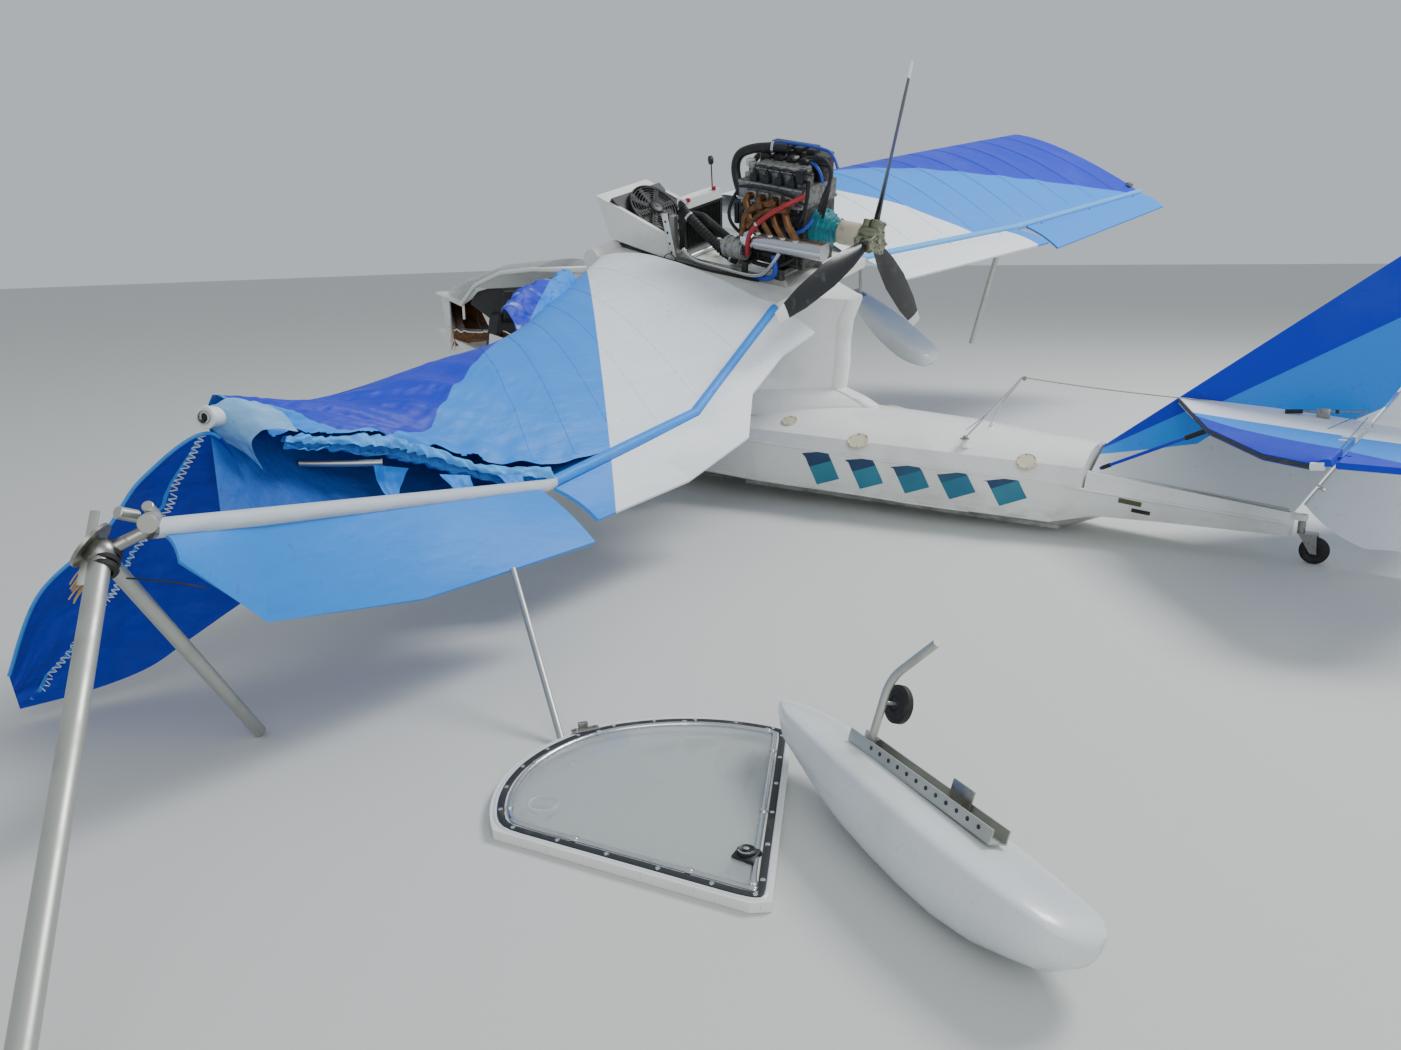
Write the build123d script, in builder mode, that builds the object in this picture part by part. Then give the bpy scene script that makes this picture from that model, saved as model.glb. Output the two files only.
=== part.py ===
from build123d import *
from math import cos, sin, tan, pi, radians, sqrt
import os

# Two-seat amphibious microlight, lying as it came to rest after a heavy landing.
# Frame: +X towards the nose, +Y to port, +Z up; origin on the keel where it meets the ground.
# All sizes are in millimetres.

os.makedirs("parts", exist_ok=True)

# General sizes
seat_gap = 0.3          # gap left between pieces that seat on one another
skin = 12               # moulded skin thickness
cloth = 8               # thickness of a loose fabric skin
spar_radius = 25        # wing spar and strut tubes
spar_wall = 3
lug_half = 3            # half thickness of a hinge lug
lug_round = 7
pin_radius = 4
pin_reach = 30
pin_clear = 0.05        # running clearance of a pin or an axle
hinge_clear = 5         # clear space round what turns
up = Vector(0, 0, 1)
port = Vector(0, 1, 0)
forward = Vector(1, 0, 0)


# Helpers: planes, outlines and tubes

def rib_plane(lead, trail, rise=up):
    """Section plane: x runs from the leading to the trailing edge, y points as near to rise as it can."""
    run = (trail - lead).normalized()
    return Plane(origin=lead, x_dir=run, z_dir=run.cross(rise))


def aerofoil(lead, trail, camber, nose, tail=6, rise=up):
    """Wing section with a round nose, an arched top and a flat underside."""
    chord = (trail - lead).length
    with BuildSketch(rib_plane(lead, trail, rise)) as rib:
        with BuildLine():
            ThreePointArc((nose, -nose), (0, 0), (nose, nose))
            ThreePointArc((nose, nose), (chord * 0.4, camber), (chord, tail))
            Line((chord, tail), (chord, -tail))
            Line((chord, -tail), (nose, -nose))
        make_face()
    return rib.sketch


def slack_skin(lead, trail, sag, thick=cloth, rise=up):
    """Section of a loose sheet that sags (or, with a negative sag, bulges) between two edges."""
    chord = (trail - lead).length
    half = thick / 2
    with BuildSketch(rib_plane(lead, trail, rise)) as strip:
        with BuildLine():
            ThreePointArc((0, -half), (chord / 2, -sag - half), (chord, -half))
            Line((chord, -half), (chord, half))
            ThreePointArc((chord, half), (chord / 2, -sag + half), (0, half))
            Line((0, half), (0, -half))
        make_face()
    return strip.sketch


def bar(start, end, radius, bore=0):
    """Straight round bar, or a tube where a bore is given, added to the open part."""
    run = end - start
    with BuildSketch(Plane(origin=start, z_dir=run.normalized())) as ring:
        Circle(radius)
        if bore:
            Circle(bore, mode=Mode.SUBTRACT)
    extrude(ring.sketch, amount=run.length)


def bent_tube(points, bends, radius, bore=0):
    """Tube along straight runs joined by arcs, added to the open part."""
    with BuildLine() as path:
        FilletPolyline(*points, radius=bends)
    with BuildSketch(Plane(origin=path.line @ 0, z_dir=path.line % 0)) as ring:
        Circle(radius)
        if bore:
            Circle(bore, mode=Mode.SUBTRACT)
    sweep(sections=ring.sketch, path=path.line)


def lugs(start, end, shares, toward, reach):
    """Fixed hinge lugs: plates that stand at shares of a hinge line, each with a pin through it."""
    along = (end - start).normalized()
    for share in shares:
        place = between(start, end, share)
        with BuildSketch(Plane(origin=place - along * lug_half, x_dir=toward, z_dir=along)) as plate:
            Circle(lug_round)
            with Locations((reach / 2, 0)):
                Rectangle(reach, 2 * lug_round)
        extrude(plate.sketch, amount=2 * lug_half)
        bar(place - along * pin_reach, place + along * pin_reach, pin_radius)


def knuckle(start, end, shares, nose):
    """Round leading edge of a hinged piece, slotted for the fixed lugs and bored for their pins."""
    along = (end - start).normalized()
    bar(start, end, nose)
    for share in shares:
        place = between(start, end, share)
        slot_from = place - along * (lug_half + hinge_clear)
        with BuildSketch(Plane(origin=slot_from, z_dir=along)) as slot:
            Circle(nose + hinge_clear + 2)
        extrude(slot.sketch, amount=2 * (lug_half + hinge_clear), mode=Mode.SUBTRACT)
        with BuildSketch(Plane(origin=place - along * (pin_reach + hinge_clear), z_dir=along)) as bore:
            Circle(pin_radius + pin_clear)
        extrude(bore.sketch, amount=2 * (pin_reach + hinge_clear), mode=Mode.SUBTRACT)


def mirrored(point):
    """The same point on the starboard side."""
    return Vector(point.X, -point.Y, point.Z)


def between(start, end, share):
    """Point at a share of the way from start to end."""
    return start + (end - start) * share


def finish(part, name):
    """Label a sub-part and write it out."""
    part.label = name
    export_step(part, f"parts/{name}.step")


# Power unit. Its frame has its origin at the propeller hub, x forward along the shaft, y to port and z up;
# the broken wing has pulled it over to port.
hub_point = Vector(669, 100, 1478)
thrust_pitch = 11       # degrees, nose up
engine_lean = 14        # degrees, to port
shaft_dir = Vector(cos(radians(thrust_pitch)), 0, sin(radians(thrust_pitch)))
upright = Vector(-sin(radians(thrust_pitch)), 0, cos(radians(thrust_pitch)))
lift_dir = upright * cos(radians(engine_lean)) + port * sin(radians(engine_lean))
side_dir = port * cos(radians(engine_lean)) - upright * sin(radians(engine_lean))


def spot(s, t, h):
    """Point in the power unit's frame."""
    return hub_point + shaft_dir * s + side_dir * t + lift_dir * h


def cross_plane(s, t=0, h=0):
    """Plane across the shaft, normal forward."""
    return Plane(origin=spot(s, t, h), x_dir=side_dir, z_dir=shaft_dir)


def side_plane(t):
    """Upright plane along the shaft: x is forward, y is up."""
    return Plane(origin=spot(0, t, 0), x_dir=shaft_dir, z_dir=-side_dir)


def level_plane(h):
    """Level plane of the power unit: x is forward, y is to port."""
    return Plane(origin=spot(0, 0, h), x_dir=shaft_dir, z_dir=lift_dir)


centre_top = -305       # upper face of the wing centre section, in the power unit's frame
centre_under = -357     # its underside over the pylon

# Hull: stations from stern to bow. Columns: x, keel z, chine y, chine z, side y, side z
hull_stations = [
    (-1490, 112, 62, 128, 90, 190),
    (-1050, 98, 120, 130, 160, 228),
    (-650, 88, 190, 128, 232, 262),
    (-450, 2, 235, 78, 268, 282),
    (150, 2, 330, 95, 388, 316),
    (1200, 2, 450, 130, 505, 374),
    (1900, 8, 480, 165, 525, 430),
    (2700, 70, 480, 230, 525, 560),
    (3500, 260, 400, 420, 440, 750),
    (4150, 560, 230, 700, 290, 850),
    (4480, 780, 60, 830, 90, 872),
]
# The cockpit well is cut inside these stations: x, floor z, lower y, lower z, top y
well_stations = [
    (1420, 60, 440, 150, 485),
    (1900, 60, 460, 180, 505),
    (2700, 110, 460, 245, 505),
    (3500, 290, 380, 440, 420),
    (4100, 560, 220, 690, 270),
]
# Flat tail deck behind the raised deck: x, half width, height
tail_deck_stations = [
    (-1490, 78, 240),
    (-1050, 140, 295),
    (-612, 205, 352),
]
# Raised deck from the fin to the cabin bulkhead: x, edge y, edge z, crown z
deck_stations = [
    (-600, 222, 368, 462),
    (-450, 250, 375, 474),
    (150, 366, 404, 520),
    (1200, 476, 440, 568),
    (1300, 482, 446, 575),
]
# Cabin sides above the hull: x, sill y, sill z
cabin_stations = [
    (1310, 470, 640),
    (1900, 490, 680),
    (2700, 490, 760),
    (3500, 415, 890),
    (4000, 300, 930),
]


def row_at(rows, x):
    """Row of a station table at any x, taken straight between its neighbours."""
    for low, high in zip(rows[:-1], rows[1:]):
        if low[0] <= x <= high[0]:
            share = (x - low[0]) / (high[0] - low[0])
            return [a + (b - a) * share for a, b in zip(low, high)]
    raise ValueError("x lies outside the table")


def sheer(x):
    """Side of the hull at its upper edge: y and z."""
    return row_at(hull_stations, x)[4:6]


def tail_deck_z(x):
    """Height of the flat tail deck."""
    return row_at(tail_deck_stations, x)[2]


def well_floor(x, y):
    """Height of the cockpit floor."""
    _, floor_z, lower_y, lower_z, _ = row_at(well_stations, x)
    return floor_z + (lower_z - floor_z) * y / lower_y



def hull_section(x, keel_z, chine_y, chine_z, side_y, side_z):
    """Closed hull frame with a vee bottom, hard chines and a flat top."""
    with BuildSketch(Plane(origin=(x, 0, 0), x_dir=port, z_dir=forward)) as frame:
        with BuildLine():
            Polyline(
                (0, keel_z),
                (chine_y, chine_z),
                (side_y, side_z),
                (-side_y, side_z),
                (-chine_y, chine_z),
                close=True,
            )
        make_face()
    return frame.sketch


def tail_deck_section(x, edge_y, edge_z):
    """Flat-topped deck frame that grows out of the hull's upper edge."""
    side_y, side_z = sheer(x)
    side_y -= 1
    side_z -= 3
    with BuildSketch(Plane(origin=(x, 0, 0), x_dir=port, z_dir=forward)) as frame:
        with BuildLine():
            Polyline((-edge_y, edge_z), (-side_y, side_z), (side_y, side_z), (edge_y, edge_z), close=True)
        make_face()
    return frame.sketch


def deck_section(x, edge_y, edge_z, crown_z):
    """Deck frame: short sides and an arched top, seated on the hull's upper edge."""
    side_y, side_z = sheer(x)
    side_y -= 2
    side_z += seat_gap
    with BuildSketch(Plane(origin=(x, 0, 0), x_dir=port, z_dir=forward)) as frame:
        with BuildLine():
            Line((-edge_y, edge_z), (-side_y, side_z))
            Line((-side_y, side_z), (side_y, side_z))
            Line((side_y, side_z), (edge_y, edge_z))
            ThreePointArc((edge_y, edge_z), (0, crown_z), (-edge_y, edge_z))
        make_face()
    return frame.sketch


def well_section(x, floor_z, lower_y, lower_z, top_y):
    """Inside of the cockpit, open well above the sheer."""
    with BuildSketch(Plane(origin=(x, 0, 0), x_dir=port, z_dir=forward)) as frame:
        with BuildLine():
            Polyline(
                (0, floor_z),
                (lower_y, lower_z),
                (top_y, lower_z + 500),
                (-top_y, lower_z + 500),
                (-lower_y, lower_z),
                close=True,
            )
        make_face()
    return frame.sketch


def side_wall_section(x, sill_y, sill_z, side):
    """One cabin side wall, a skin thick; side is 1 to port and -1 to starboard."""
    foot_y, foot_z = sheer(x)
    foot_y -= 2
    foot_z += seat_gap
    with BuildSketch(Plane(origin=(x, 0, 0), x_dir=port, z_dir=forward)) as frame:
        with BuildLine():
            Polyline(
                (side * foot_y, foot_z),
                (side * sill_y, sill_z),
                (side * (sill_y - skin), sill_z),
                (side * (foot_y - skin), foot_z),
                close=True,
            )
        make_face()
    return frame.sketch


keel_half = 60          # half width of the keel shoe
stern_x = hull_stations[0][0]
fork_axis_x = -1532     # swivel of the tail wheel's fork
stem_radius = 11
bracket_low = 196
bracket_high = 222

with BuildPart() as hull_shell:
    loft(sections=[hull_section(*row) for row in hull_stations], ruled=True)
    loft(sections=[tail_deck_section(*row) for row in tail_deck_stations], ruled=True)
    # Keel shoe, the flat that the hull lies on
    with BuildSketch(Plane(origin=(-440, 0, 0), x_dir=port, z_dir=forward)) as shoe:
        with BuildLine():
            Polyline((-keel_half, 0), (keel_half, 0), (keel_half, 30), (-keel_half, 30), close=True)
        make_face()
    extrude(shoe.sketch, amount=2000)
    # Stern bracket that the tail wheel's fork turns in
    with BuildSketch(Plane.XY.offset(bracket_low)) as bracket:
        with Locations(((fork_axis_x + stern_x) / 2, 0)):
            Rectangle(stern_x - fork_axis_x + 2, 44)
        with Locations((fork_axis_x, 0)):
            Circle(22)
        with Locations((fork_axis_x, 0)):
            Circle(stem_radius + pin_clear, mode=Mode.SUBTRACT)
    extrude(bracket.sketch, amount=bracket_high - bracket_low)
    loft(sections=[well_section(*row) for row in well_stations], ruled=True, mode=Mode.SUBTRACT)
finish(hull_shell.part, "hull_shell")

# Pylon behind the cabin: z, rear x, half width at the front. Its rear edge is round and hollow in profile.
pylon_stations = [
    (500, 655, 400),
    (552, 668, 385),
    (590, 740, 370),
    (640, 880, 350),
    (700, 872, 335),
    (790, 860, 320),
    (918, 858, 305),
    (1030, 842, 295),
    (1150, 790, 290),
    (1400, 770, 280),
]
pylon_nose = 62         # radius of the rear edge
pylon_front_x = 1310
pylon_foot_z = 500


def pylon_section(z, rear_x, half_width):
    """Plan of the pylon: a round rear edge widening to the cabin bulkhead."""
    centre_x = rear_x + pylon_nose
    with BuildSketch(Plane.XY.offset(z)) as plan:
        with BuildLine():
            ThreePointArc((centre_x, pylon_nose), (rear_x, 0), (centre_x, -pylon_nose))
            Line((centre_x, -pylon_nose), (pylon_front_x, -half_width))
            Line((pylon_front_x, -half_width), (pylon_front_x, half_width))
            Line((pylon_front_x, half_width), (centre_x, pylon_nose))
        make_face()
    return plan.sketch


# Deck fittings: x, y, foot z, top z, foot radius, top radius
mast_foot = (-4, 290, 425, 466, 26, 8)
rod_foot = (-46, 50, 495, 526, 20, 7)
with BuildPart() as aft_deck_pylon:
    loft(sections=[pylon_section(*row) for row in pylon_stations], ruled=True)
    trim = Plane(origin=spot(0, 0, centre_under - seat_gap), x_dir=side_dir, z_dir=lift_dir)
    split(bisect_by=trim, keep=Keep.BOTTOM)
    loft(sections=[deck_section(*row) for row in deck_stations], ruled=True)
    for x, y, foot_z, top_z, foot_radius, top_radius in (mast_foot, rod_foot):
        with BuildSketch(Plane(origin=(x, y, foot_z))) as foot:
            Circle(foot_radius)
        with BuildSketch(Plane(origin=(x, y, top_z))) as top:
            Circle(top_radius)
        loft(sections=[foot.sketch, top.sketch], ruled=True)
finish(aft_deck_pylon.part, "aft_deck_pylon")

with BuildPart() as cabin_sides:
    for side in (1, -1):
        last = cabin_stations[-1 if side == -1 else -2][0]
        places = sorted({row[0] for row in hull_stations + cabin_stations if cabin_stations[0][0] <= row[0] <= last})
        loft(sections=[side_wall_section(*row_at(cabin_stations, x), side) for x in places], ruled=True)
finish(cabin_sides.part, "cabin_sides")

# Torn bow: the nose cap is a flat moulded beak; under it only the bow's front wall is left.
nose_tip = Vector(4562, 0, 1140)
cap_corner = Vector(3890, 320, 1075)
cap_centre = Vector(4270, 0, 1172)
bow_foot = Vector(4470, 0, 874)
bow_side = Vector(4190, 250, 874)


rail_radius = 16
rail_points = [
    Vector(3915, 303, 1078),
    Vector(3700, 345, 1215),
    Vector(3400, 370, 1300),
    Vector(3050, 385, 1325),
    Vector(2450, 390, 1312),
]
roof_front_x = 2470
with BuildPart() as canopy_frame:
    cap_run = nose_tip - between(cap_corner, mirrored(cap_corner), 0.5)
    with BuildSketch(Plane(origin=cap_corner, x_dir=-port, z_dir=-cap_run)) as rear:
        width = 2 * cap_corner.Y
        with BuildLine():
            ThreePointArc((0, 0), (width / 2, 96), (width, 0))
            Line((width, 0), (width, -skin))
            ThreePointArc((width, -skin), (width / 2, 96 - skin), (0, -skin))
            Line((0, -skin), (0, 0))
        make_face()
    with BuildSketch(Plane(origin=nose_tip, x_dir=-port, z_dir=-cap_run)) as tip:
        tip_half = 22
        with BuildLine():
            ThreePointArc((-tip_half, 0), (0, 8), (tip_half, 0))
            Line((tip_half, 0), (tip_half, -skin))
            ThreePointArc((tip_half, -skin), (0, 8 - skin), (-tip_half, -skin))
            Line((-tip_half, -skin), (-tip_half, 0))
        make_face()
    loft(sections=[rear.sketch, tip.sketch], ruled=True)
    for rail in (rail_points, [mirrored(point) for point in rail_points]):
        bent_tube(rail, (250, 250, 250), rail_radius)
    for hoop_x in (3050, 2480):
        hoop_point = Vector(*row_at(sorted([[p.X, p.Y, p.Z] for p in rail_points]), hoop_x))
        bar(mirrored(hoop_point), hoop_point, 12)
finish(canopy_frame.part, "canopy_frame")

with BuildPart() as bow_wall:
    wall_foot = Plane(origin=(4150, 0, 850 + seat_gap), x_dir=(330, 0, 22), z_dir=(-22, 0, 330))
    with BuildSketch(wall_foot) as low:
        with BuildLine():
            Polyline((326, 0), (230, 98), (40, 200), (40, 188), (224, 88), (312, 0),
                     (224, -88), (40, -188), (40, -200), (230, -98), close=True)
        make_face()
    with BuildSketch(Plane(origin=(4270, 0, 1108), x_dir=(276, 0, 24), z_dir=(-24, 0, 276))) as high:
        with BuildLine():
            Polyline((276, 0), (180, 62), (0, 128), (0, 116), (174, 52), (262, 0),
                     (174, -52), (0, -116), (0, -128), (180, -62), close=True)
        make_face()
    loft(sections=[low.sketch, high.sketch], ruled=True)
finish(bow_wall.part, "bow_wall")


def roof_section(x, edge_y, edge_z, crown_z):
    """Arched roof sheet over the cabin."""
    with BuildSketch(Plane(origin=(x, 0, 0), x_dir=port, z_dir=forward)) as arch:
        with BuildLine():
            ThreePointArc((edge_y, edge_z), (0, crown_z), (-edge_y, edge_z))
            Line((-edge_y, edge_z), (-edge_y, edge_z - skin))
            ThreePointArc((-edge_y, edge_z - skin), (0, crown_z - skin), (edge_y, edge_z - skin))
            Line((edge_y, edge_z - skin), (edge_y, edge_z))
        make_face()
    return arch.sketch


with BuildPart() as cabin_roof:
    loft(
        sections=[
            roof_section(pylon_front_x + seat_gap, 285, 1030, 1100),
            roof_section(1700, 330, 1130, 1190),
            roof_section(roof_front_x - 12 - seat_gap, 372, 1318, 1345),
        ],
        ruled=True,
    )
finish(cabin_roof.part, "cabin_roof")


def screen_section(corner, crest_x, crest_z, thick=5):
    """Curved edge of the windscreen through both corners and a crest on the centre line."""
    crest = Vector(crest_x, 0, crest_z)
    across = (mirrored(corner) - corner).normalized()
    chord_middle = between(corner, mirrored(corner), 0.5)
    rise = (crest - chord_middle)
    width = 2 * corner.Y
    with BuildSketch(Plane(origin=corner, x_dir=across, z_dir=across.cross(rise.normalized()))) as edge:
        with BuildLine():
            ThreePointArc((0, 0), (width / 2, rise.length), (width, 0))
            Line((width, 0), (width - thick, 0))
            ThreePointArc((width - thick, 0), (width / 2, rise.length - thick), (thick, 0))
            Line((thick, 0), (0, 0))
        make_face()
    return edge.sketch


with BuildPart() as windscreen:
    loft(
        sections=[
            screen_section(Vector(3935, 282, 1104), 4262, 1184),
            screen_section(Vector(3700, 328, 1215), 4010, 1262),
            screen_section(Vector(3400, 353, 1300), 3620, 1356),
            screen_section(Vector(3064, 368, 1325), 3110, 1392),
        ],
        ruled=True,
    )
finish(windscreen.part, "windscreen")

# Gull-wing door on the starboard side, hung under the cabin rail
door_from_x = 2560
door_to_x = 3030
door_rail = {x: row_at(sorted([[p.X, p.Y, p.Z] for p in rail_points]), x) for x in (door_from_x, door_to_x)}
door_drop = Vector(0, -16, -32)
door_hinge = [mirrored(Vector(*door_rail[x])) + door_drop for x in (door_from_x, door_to_x)]
door_lugs = (0.12, 0.88)
door_nose = 10
door_thin = 14
door_border = 34
with BuildPart() as door_hangers:
    lugs(*door_hinge, door_lugs, -door_drop.normalized(), door_drop.length - rail_radius - seat_gap)
finish(door_hangers.part, "door_hangers")


def starboard_door_face(inset, thick):
    """Door outline from under its hinge down to the sill, leaning out with the cabin's side."""
    low_from = Vector(door_from_x, -cabin_sill(door_from_x)[0], cabin_sill(door_from_x)[1] + 6)
    low_to = Vector(door_to_x, -cabin_sill(door_to_x)[0], cabin_sill(door_to_x)[1] + 6)
    along = (door_hinge[1] - door_hinge[0]).normalized()
    down = (low_from - door_hinge[0]).normalized()
    face = Plane(origin=door_hinge[0], x_dir=along, z_dir=along.cross(-down))
    length = (door_hinge[1] - door_hinge[0]).length
    drop_from = (low_from - door_hinge[0]).length
    drop_to = (low_to - door_hinge[1]).length
    with BuildSketch(face) as outline:
        with BuildLine():
            Polyline(
                (inset, -inset),
                (length - inset, -inset),
                (length - inset, inset - drop_to),
                (inset, inset - drop_from),
                close=True,
            )
        make_face()
    return outline.sketch


def cabin_sill(x):
    """Upper edge of the cabin's side: y and z."""
    return row_at(cabin_stations, x)[1:3]


with BuildPart() as starboard_door:
    extrude(starboard_door_face(0, door_thin), amount=door_thin / 2, both=True)
    extrude(starboard_door_face(door_border, door_thin), amount=door_thin, both=True, mode=Mode.SUBTRACT)
    knuckle(*door_hinge, door_lugs, door_nose)
finish(starboard_door.part, "starboard_door")

with BuildPart() as starboard_pane:
    extrude(starboard_door_face(door_border + seat_gap, door_thin), amount=2.5, both=True)
finish(starboard_pane.part, "starboard_pane")

# Cabin furniture
panel_x = 3560          # front face of the instrument panel
with BuildPart() as instrument_panel:
    panel_z = sheer(panel_x)[1] + seat_gap
    with BuildSketch(Plane(origin=(panel_x, 0, 0), x_dir=port, z_dir=forward)) as face:
        with BuildLine():
            Line((-412, panel_z), (412, panel_z))
            Line((412, panel_z), (350, 1010))
            ThreePointArc((350, 1010), (0, 1130), (-350, 1010))
            Line((-350, 1010), (-412, panel_z))
        make_face()
    extrude(face.sketch, amount=-90)
finish(instrument_panel.part, "instrument_panel")

seat_width = 400
seat_y = 245
seat_rear_x = 1905
seat_front_x = 2440
with BuildPart() as seats:
    outer_y = seat_y + seat_width / 2
    rear_z = well_floor(seat_rear_x, outer_y) + seat_gap
    front_z = well_floor(seat_front_x, outer_y) + seat_gap
    for side in (1, -1):
        with BuildSketch(Plane(origin=(0, side * seat_y, 0), x_dir=forward, z_dir=-port)) as profile:
            with BuildLine():
                Polyline((seat_front_x, front_z), (seat_front_x - 20, front_z + 90), (2010, rear_z + 70),
                         (1890, 790), (1810, 785), (seat_rear_x, rear_z), close=True)
            make_face()
        extrude(profile.sketch, amount=seat_width / 2, both=True)
finish(seats.part, "seats")

# Wings. Joints of the port wing's spars, measured where it lies broken
port_root_lead = Vector(2380, 450, 1370)
port_root_trail = Vector(1070, 450, 1120)
port_kink = Vector(850, 1450, 685)
port_break = Vector(730, 2550, 550)
port_spar_end = Vector(280, 4250, 820)
port_lead_break = Vector(1640, 1900, 1010)
port_lead_mid = Vector(1270, 3170, 870)
port_lead_end = Vector(930, 3770, 970)
port_tip = Vector(1400, 4250, 60)
wing_camber = 95
wing_nose = 30
wing_skin = 10          # thickness of the covered wing's wall
wing_rear_wall = 60     # solid strip along the rear edge, where the section is thin

star_root_lead = Vector(2250, -450, 1750)
star_root_hinge = Vector(1102, -450, 1356)
star_mid_hinge = Vector(954, -2600, 1553)
star_tip_hinge = Vector(680, -4600, 1846)
star_mid_lead = Vector(2055, -2600, 2095)
star_tip_lead = Vector(1800, -4420, 2369)


def off_spar(spar_point, target, reach, *runs):
    """Point towards a target in the upright section through a spar point, clear of a spar along each run."""
    aim = Vector(target.X - spar_point.X, 0, target.Z - spar_point.Z).normalized()
    return spar_point + aim * max(reach / sqrt(1 - aim.dot(run) ** 2) for run in runs)


port_run_in = (port_kink - port_root_trail).normalized()
port_run_mid = (port_break - port_kink).normalized()
port_run_out = (port_spar_end - port_break).normalized()
star_run_in = (star_mid_hinge - star_root_hinge).normalized()
star_run_out = (star_tip_hinge - star_mid_hinge).normalized()
tail_reach = spar_radius + 2    # a wing's rear edge stands this far from the spar's axis
flap_reach = spar_radius + 1.3
wing_trail_end = between(port_kink, port_break, 0.72)
end_nose = 30


def wing_rows(rows, shell_in=0):
    """Wing sections through rows of leading edge, rear edge and camber; shell_in insets them for the hollow."""
    sections = []
    for place, (lead, trail, camber, nose) in enumerate(rows):
        if shell_in:
            beside = rows[place + 1] if place == 0 else rows[place - 1]
            share = shell_in / (beside[0] - lead).length if place in (0, len(rows) - 1) else 0
            lead, trail = between(lead, beside[0], share), between(trail, beside[1], share)
            run = (trail - lead).normalized()
            lead, trail = lead + run * shell_in, trail - run * wing_rear_wall
            sections.append(aerofoil(lead, trail, camber - shell_in, nose - shell_in, 2))
        else:
            sections.append(aerofoil(lead, trail, camber, nose))
    return sections


with BuildPart() as port_wing_inner:
    inner_mid_lead = between(port_root_lead, port_lead_break, 0.55)
    port_wing_rows = [
        (port_root_lead, off_spar(port_root_trail, port_root_lead, tail_reach, port_run_in), wing_camber, wing_nose),
        (inner_mid_lead, off_spar(port_kink, inner_mid_lead, tail_reach, port_run_in, port_run_mid), wing_camber,
         wing_nose),
        (port_lead_break, off_spar(wing_trail_end, port_lead_break, tail_reach, port_run_mid), 80, end_nose),
    ]
    loft(sections=wing_rows(port_wing_rows), ruled=True)
    loft(sections=wing_rows(port_wing_rows, wing_skin), ruled=True, mode=Mode.SUBTRACT)
finish(port_wing_inner.part, "port_wing_inner")

skin_trail = off_spar(wing_trail_end, port_lead_break, tail_reach, port_run_mid)
outboard = rib_plane(port_lead_break, skin_trail).z_dir * seat_gap
skin_up = Vector(0, 0, end_nose - 2)
with BuildPart() as port_wing_top_skin:
    loft(
        sections=[
            slack_skin(port_lead_break + outboard + skin_up, skin_trail + outboard + Vector(0, 0, 5), -48),
            slack_skin(Vector(1470, 2500, 965), Vector(880, 2720, 650), -40),
            slack_skin(port_lead_mid + Vector(25, 0, 30), Vector(1020, 3080, 790), -25),
            slack_skin(port_lead_end + Vector(40, -60, 34), Vector(900, 3560, 890), -12),
        ],
        ruled=True,
    )
finish(port_wing_top_skin.part, "port_wing_top_skin")

last_lead = port_lead_end + Vector(30, -30, -60)
last_trail = Vector(350, 4060, 750)
with BuildPart() as port_wing_bottom_skin:
    loft(
        sections=[
            slack_skin(port_lead_break + outboard - skin_up, skin_trail + outboard - Vector(0, 0, 5), 10),
            slack_skin(Vector(1440, 2600, 830), port_break + Vector(44, 120, -40), 150),
            slack_skin(port_lead_mid + Vector(0, 0, -60), Vector(570, 3250, 600), 210),
            slack_skin(last_lead, last_trail, 260),
        ],
        ruled=True,
    )
finish(port_wing_bottom_skin.part, "port_wing_bottom_skin")

# Loose wing tip, a slack bag of cloth that hangs from the leading edge to the grass: upper and lower edge
tip_top = Vector(961.6, 3753.2, 904.4)
tip_rows = [
    (Vector(1020, 3420, 590), Vector(1043, 3318, 456)),
    (Vector(1008, 3600, 690), Vector(1090, 3440, 380)),
    (tip_top, Vector(1170, 3600, 280)),
    (Vector(1117, 4030, 640), Vector(1312, 3886, 100)),
    (Vector(1330, 4280, 220), Vector(1400, 4262, 60)),
]
with BuildPart() as port_wing_tip:
    loft(sections=[slack_skin(top, foot, 25, rise=Vector(0.911, -0.189, 0.367)) for top, foot in tip_rows], ruled=True)
finish(port_wing_tip.part, "port_wing_tip")

with BuildPart() as port_front_spar:
    spar_start = between(port_lead_break, port_lead_mid, 0.30) + Vector(-30, 0, -24)
    bent_tube([spar_start, port_lead_mid + Vector(-30, 0, -4.7), port_lead_end], (250,), 22, 19)
finish(port_front_spar.part, "port_front_spar")



def spar_start_at(root, run):
    """Start of a spar tube whose slanted end clears the upright plane of the wing's root."""
    return root + run * (spar_radius * sqrt(1 - run.Y ** 2) / abs(run.Y))


with BuildPart() as port_rear_spar:
    bent_tube([spar_start_at(port_root_trail, port_run_in), port_kink, port_break, port_spar_end], (120, 90), spar_radius,
              spar_radius - spar_wall)
finish(port_rear_spar.part, "port_rear_spar")

flap_thick = 14
with BuildPart() as port_flap:
    flap_rows = [
        (between(port_root_trail, port_kink, 0.02), Vector(800, 470, 990)),
        (between(port_root_trail, port_kink, 0.40), Vector(850, 700, 890)),
        (between(port_root_trail, port_kink, 0.78), Vector(790, 1060, 735)),
        (port_kink, Vector(645, 1300, 560)),
        (between(port_kink, port_break, 0.45), Vector(655, 1740, 430)),
        (between(port_kink, port_break, 0.97), Vector(600, 2400, 395)),
    ]
    loft(
        sections=[
            slack_skin(off_spar(lead, trail, flap_reach, port_run_in, port_run_mid), trail, -12, flap_thick)
            for lead, trail in flap_rows
        ],
        ruled=True,
    )
finish(port_flap.part, "port_flap")

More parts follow.
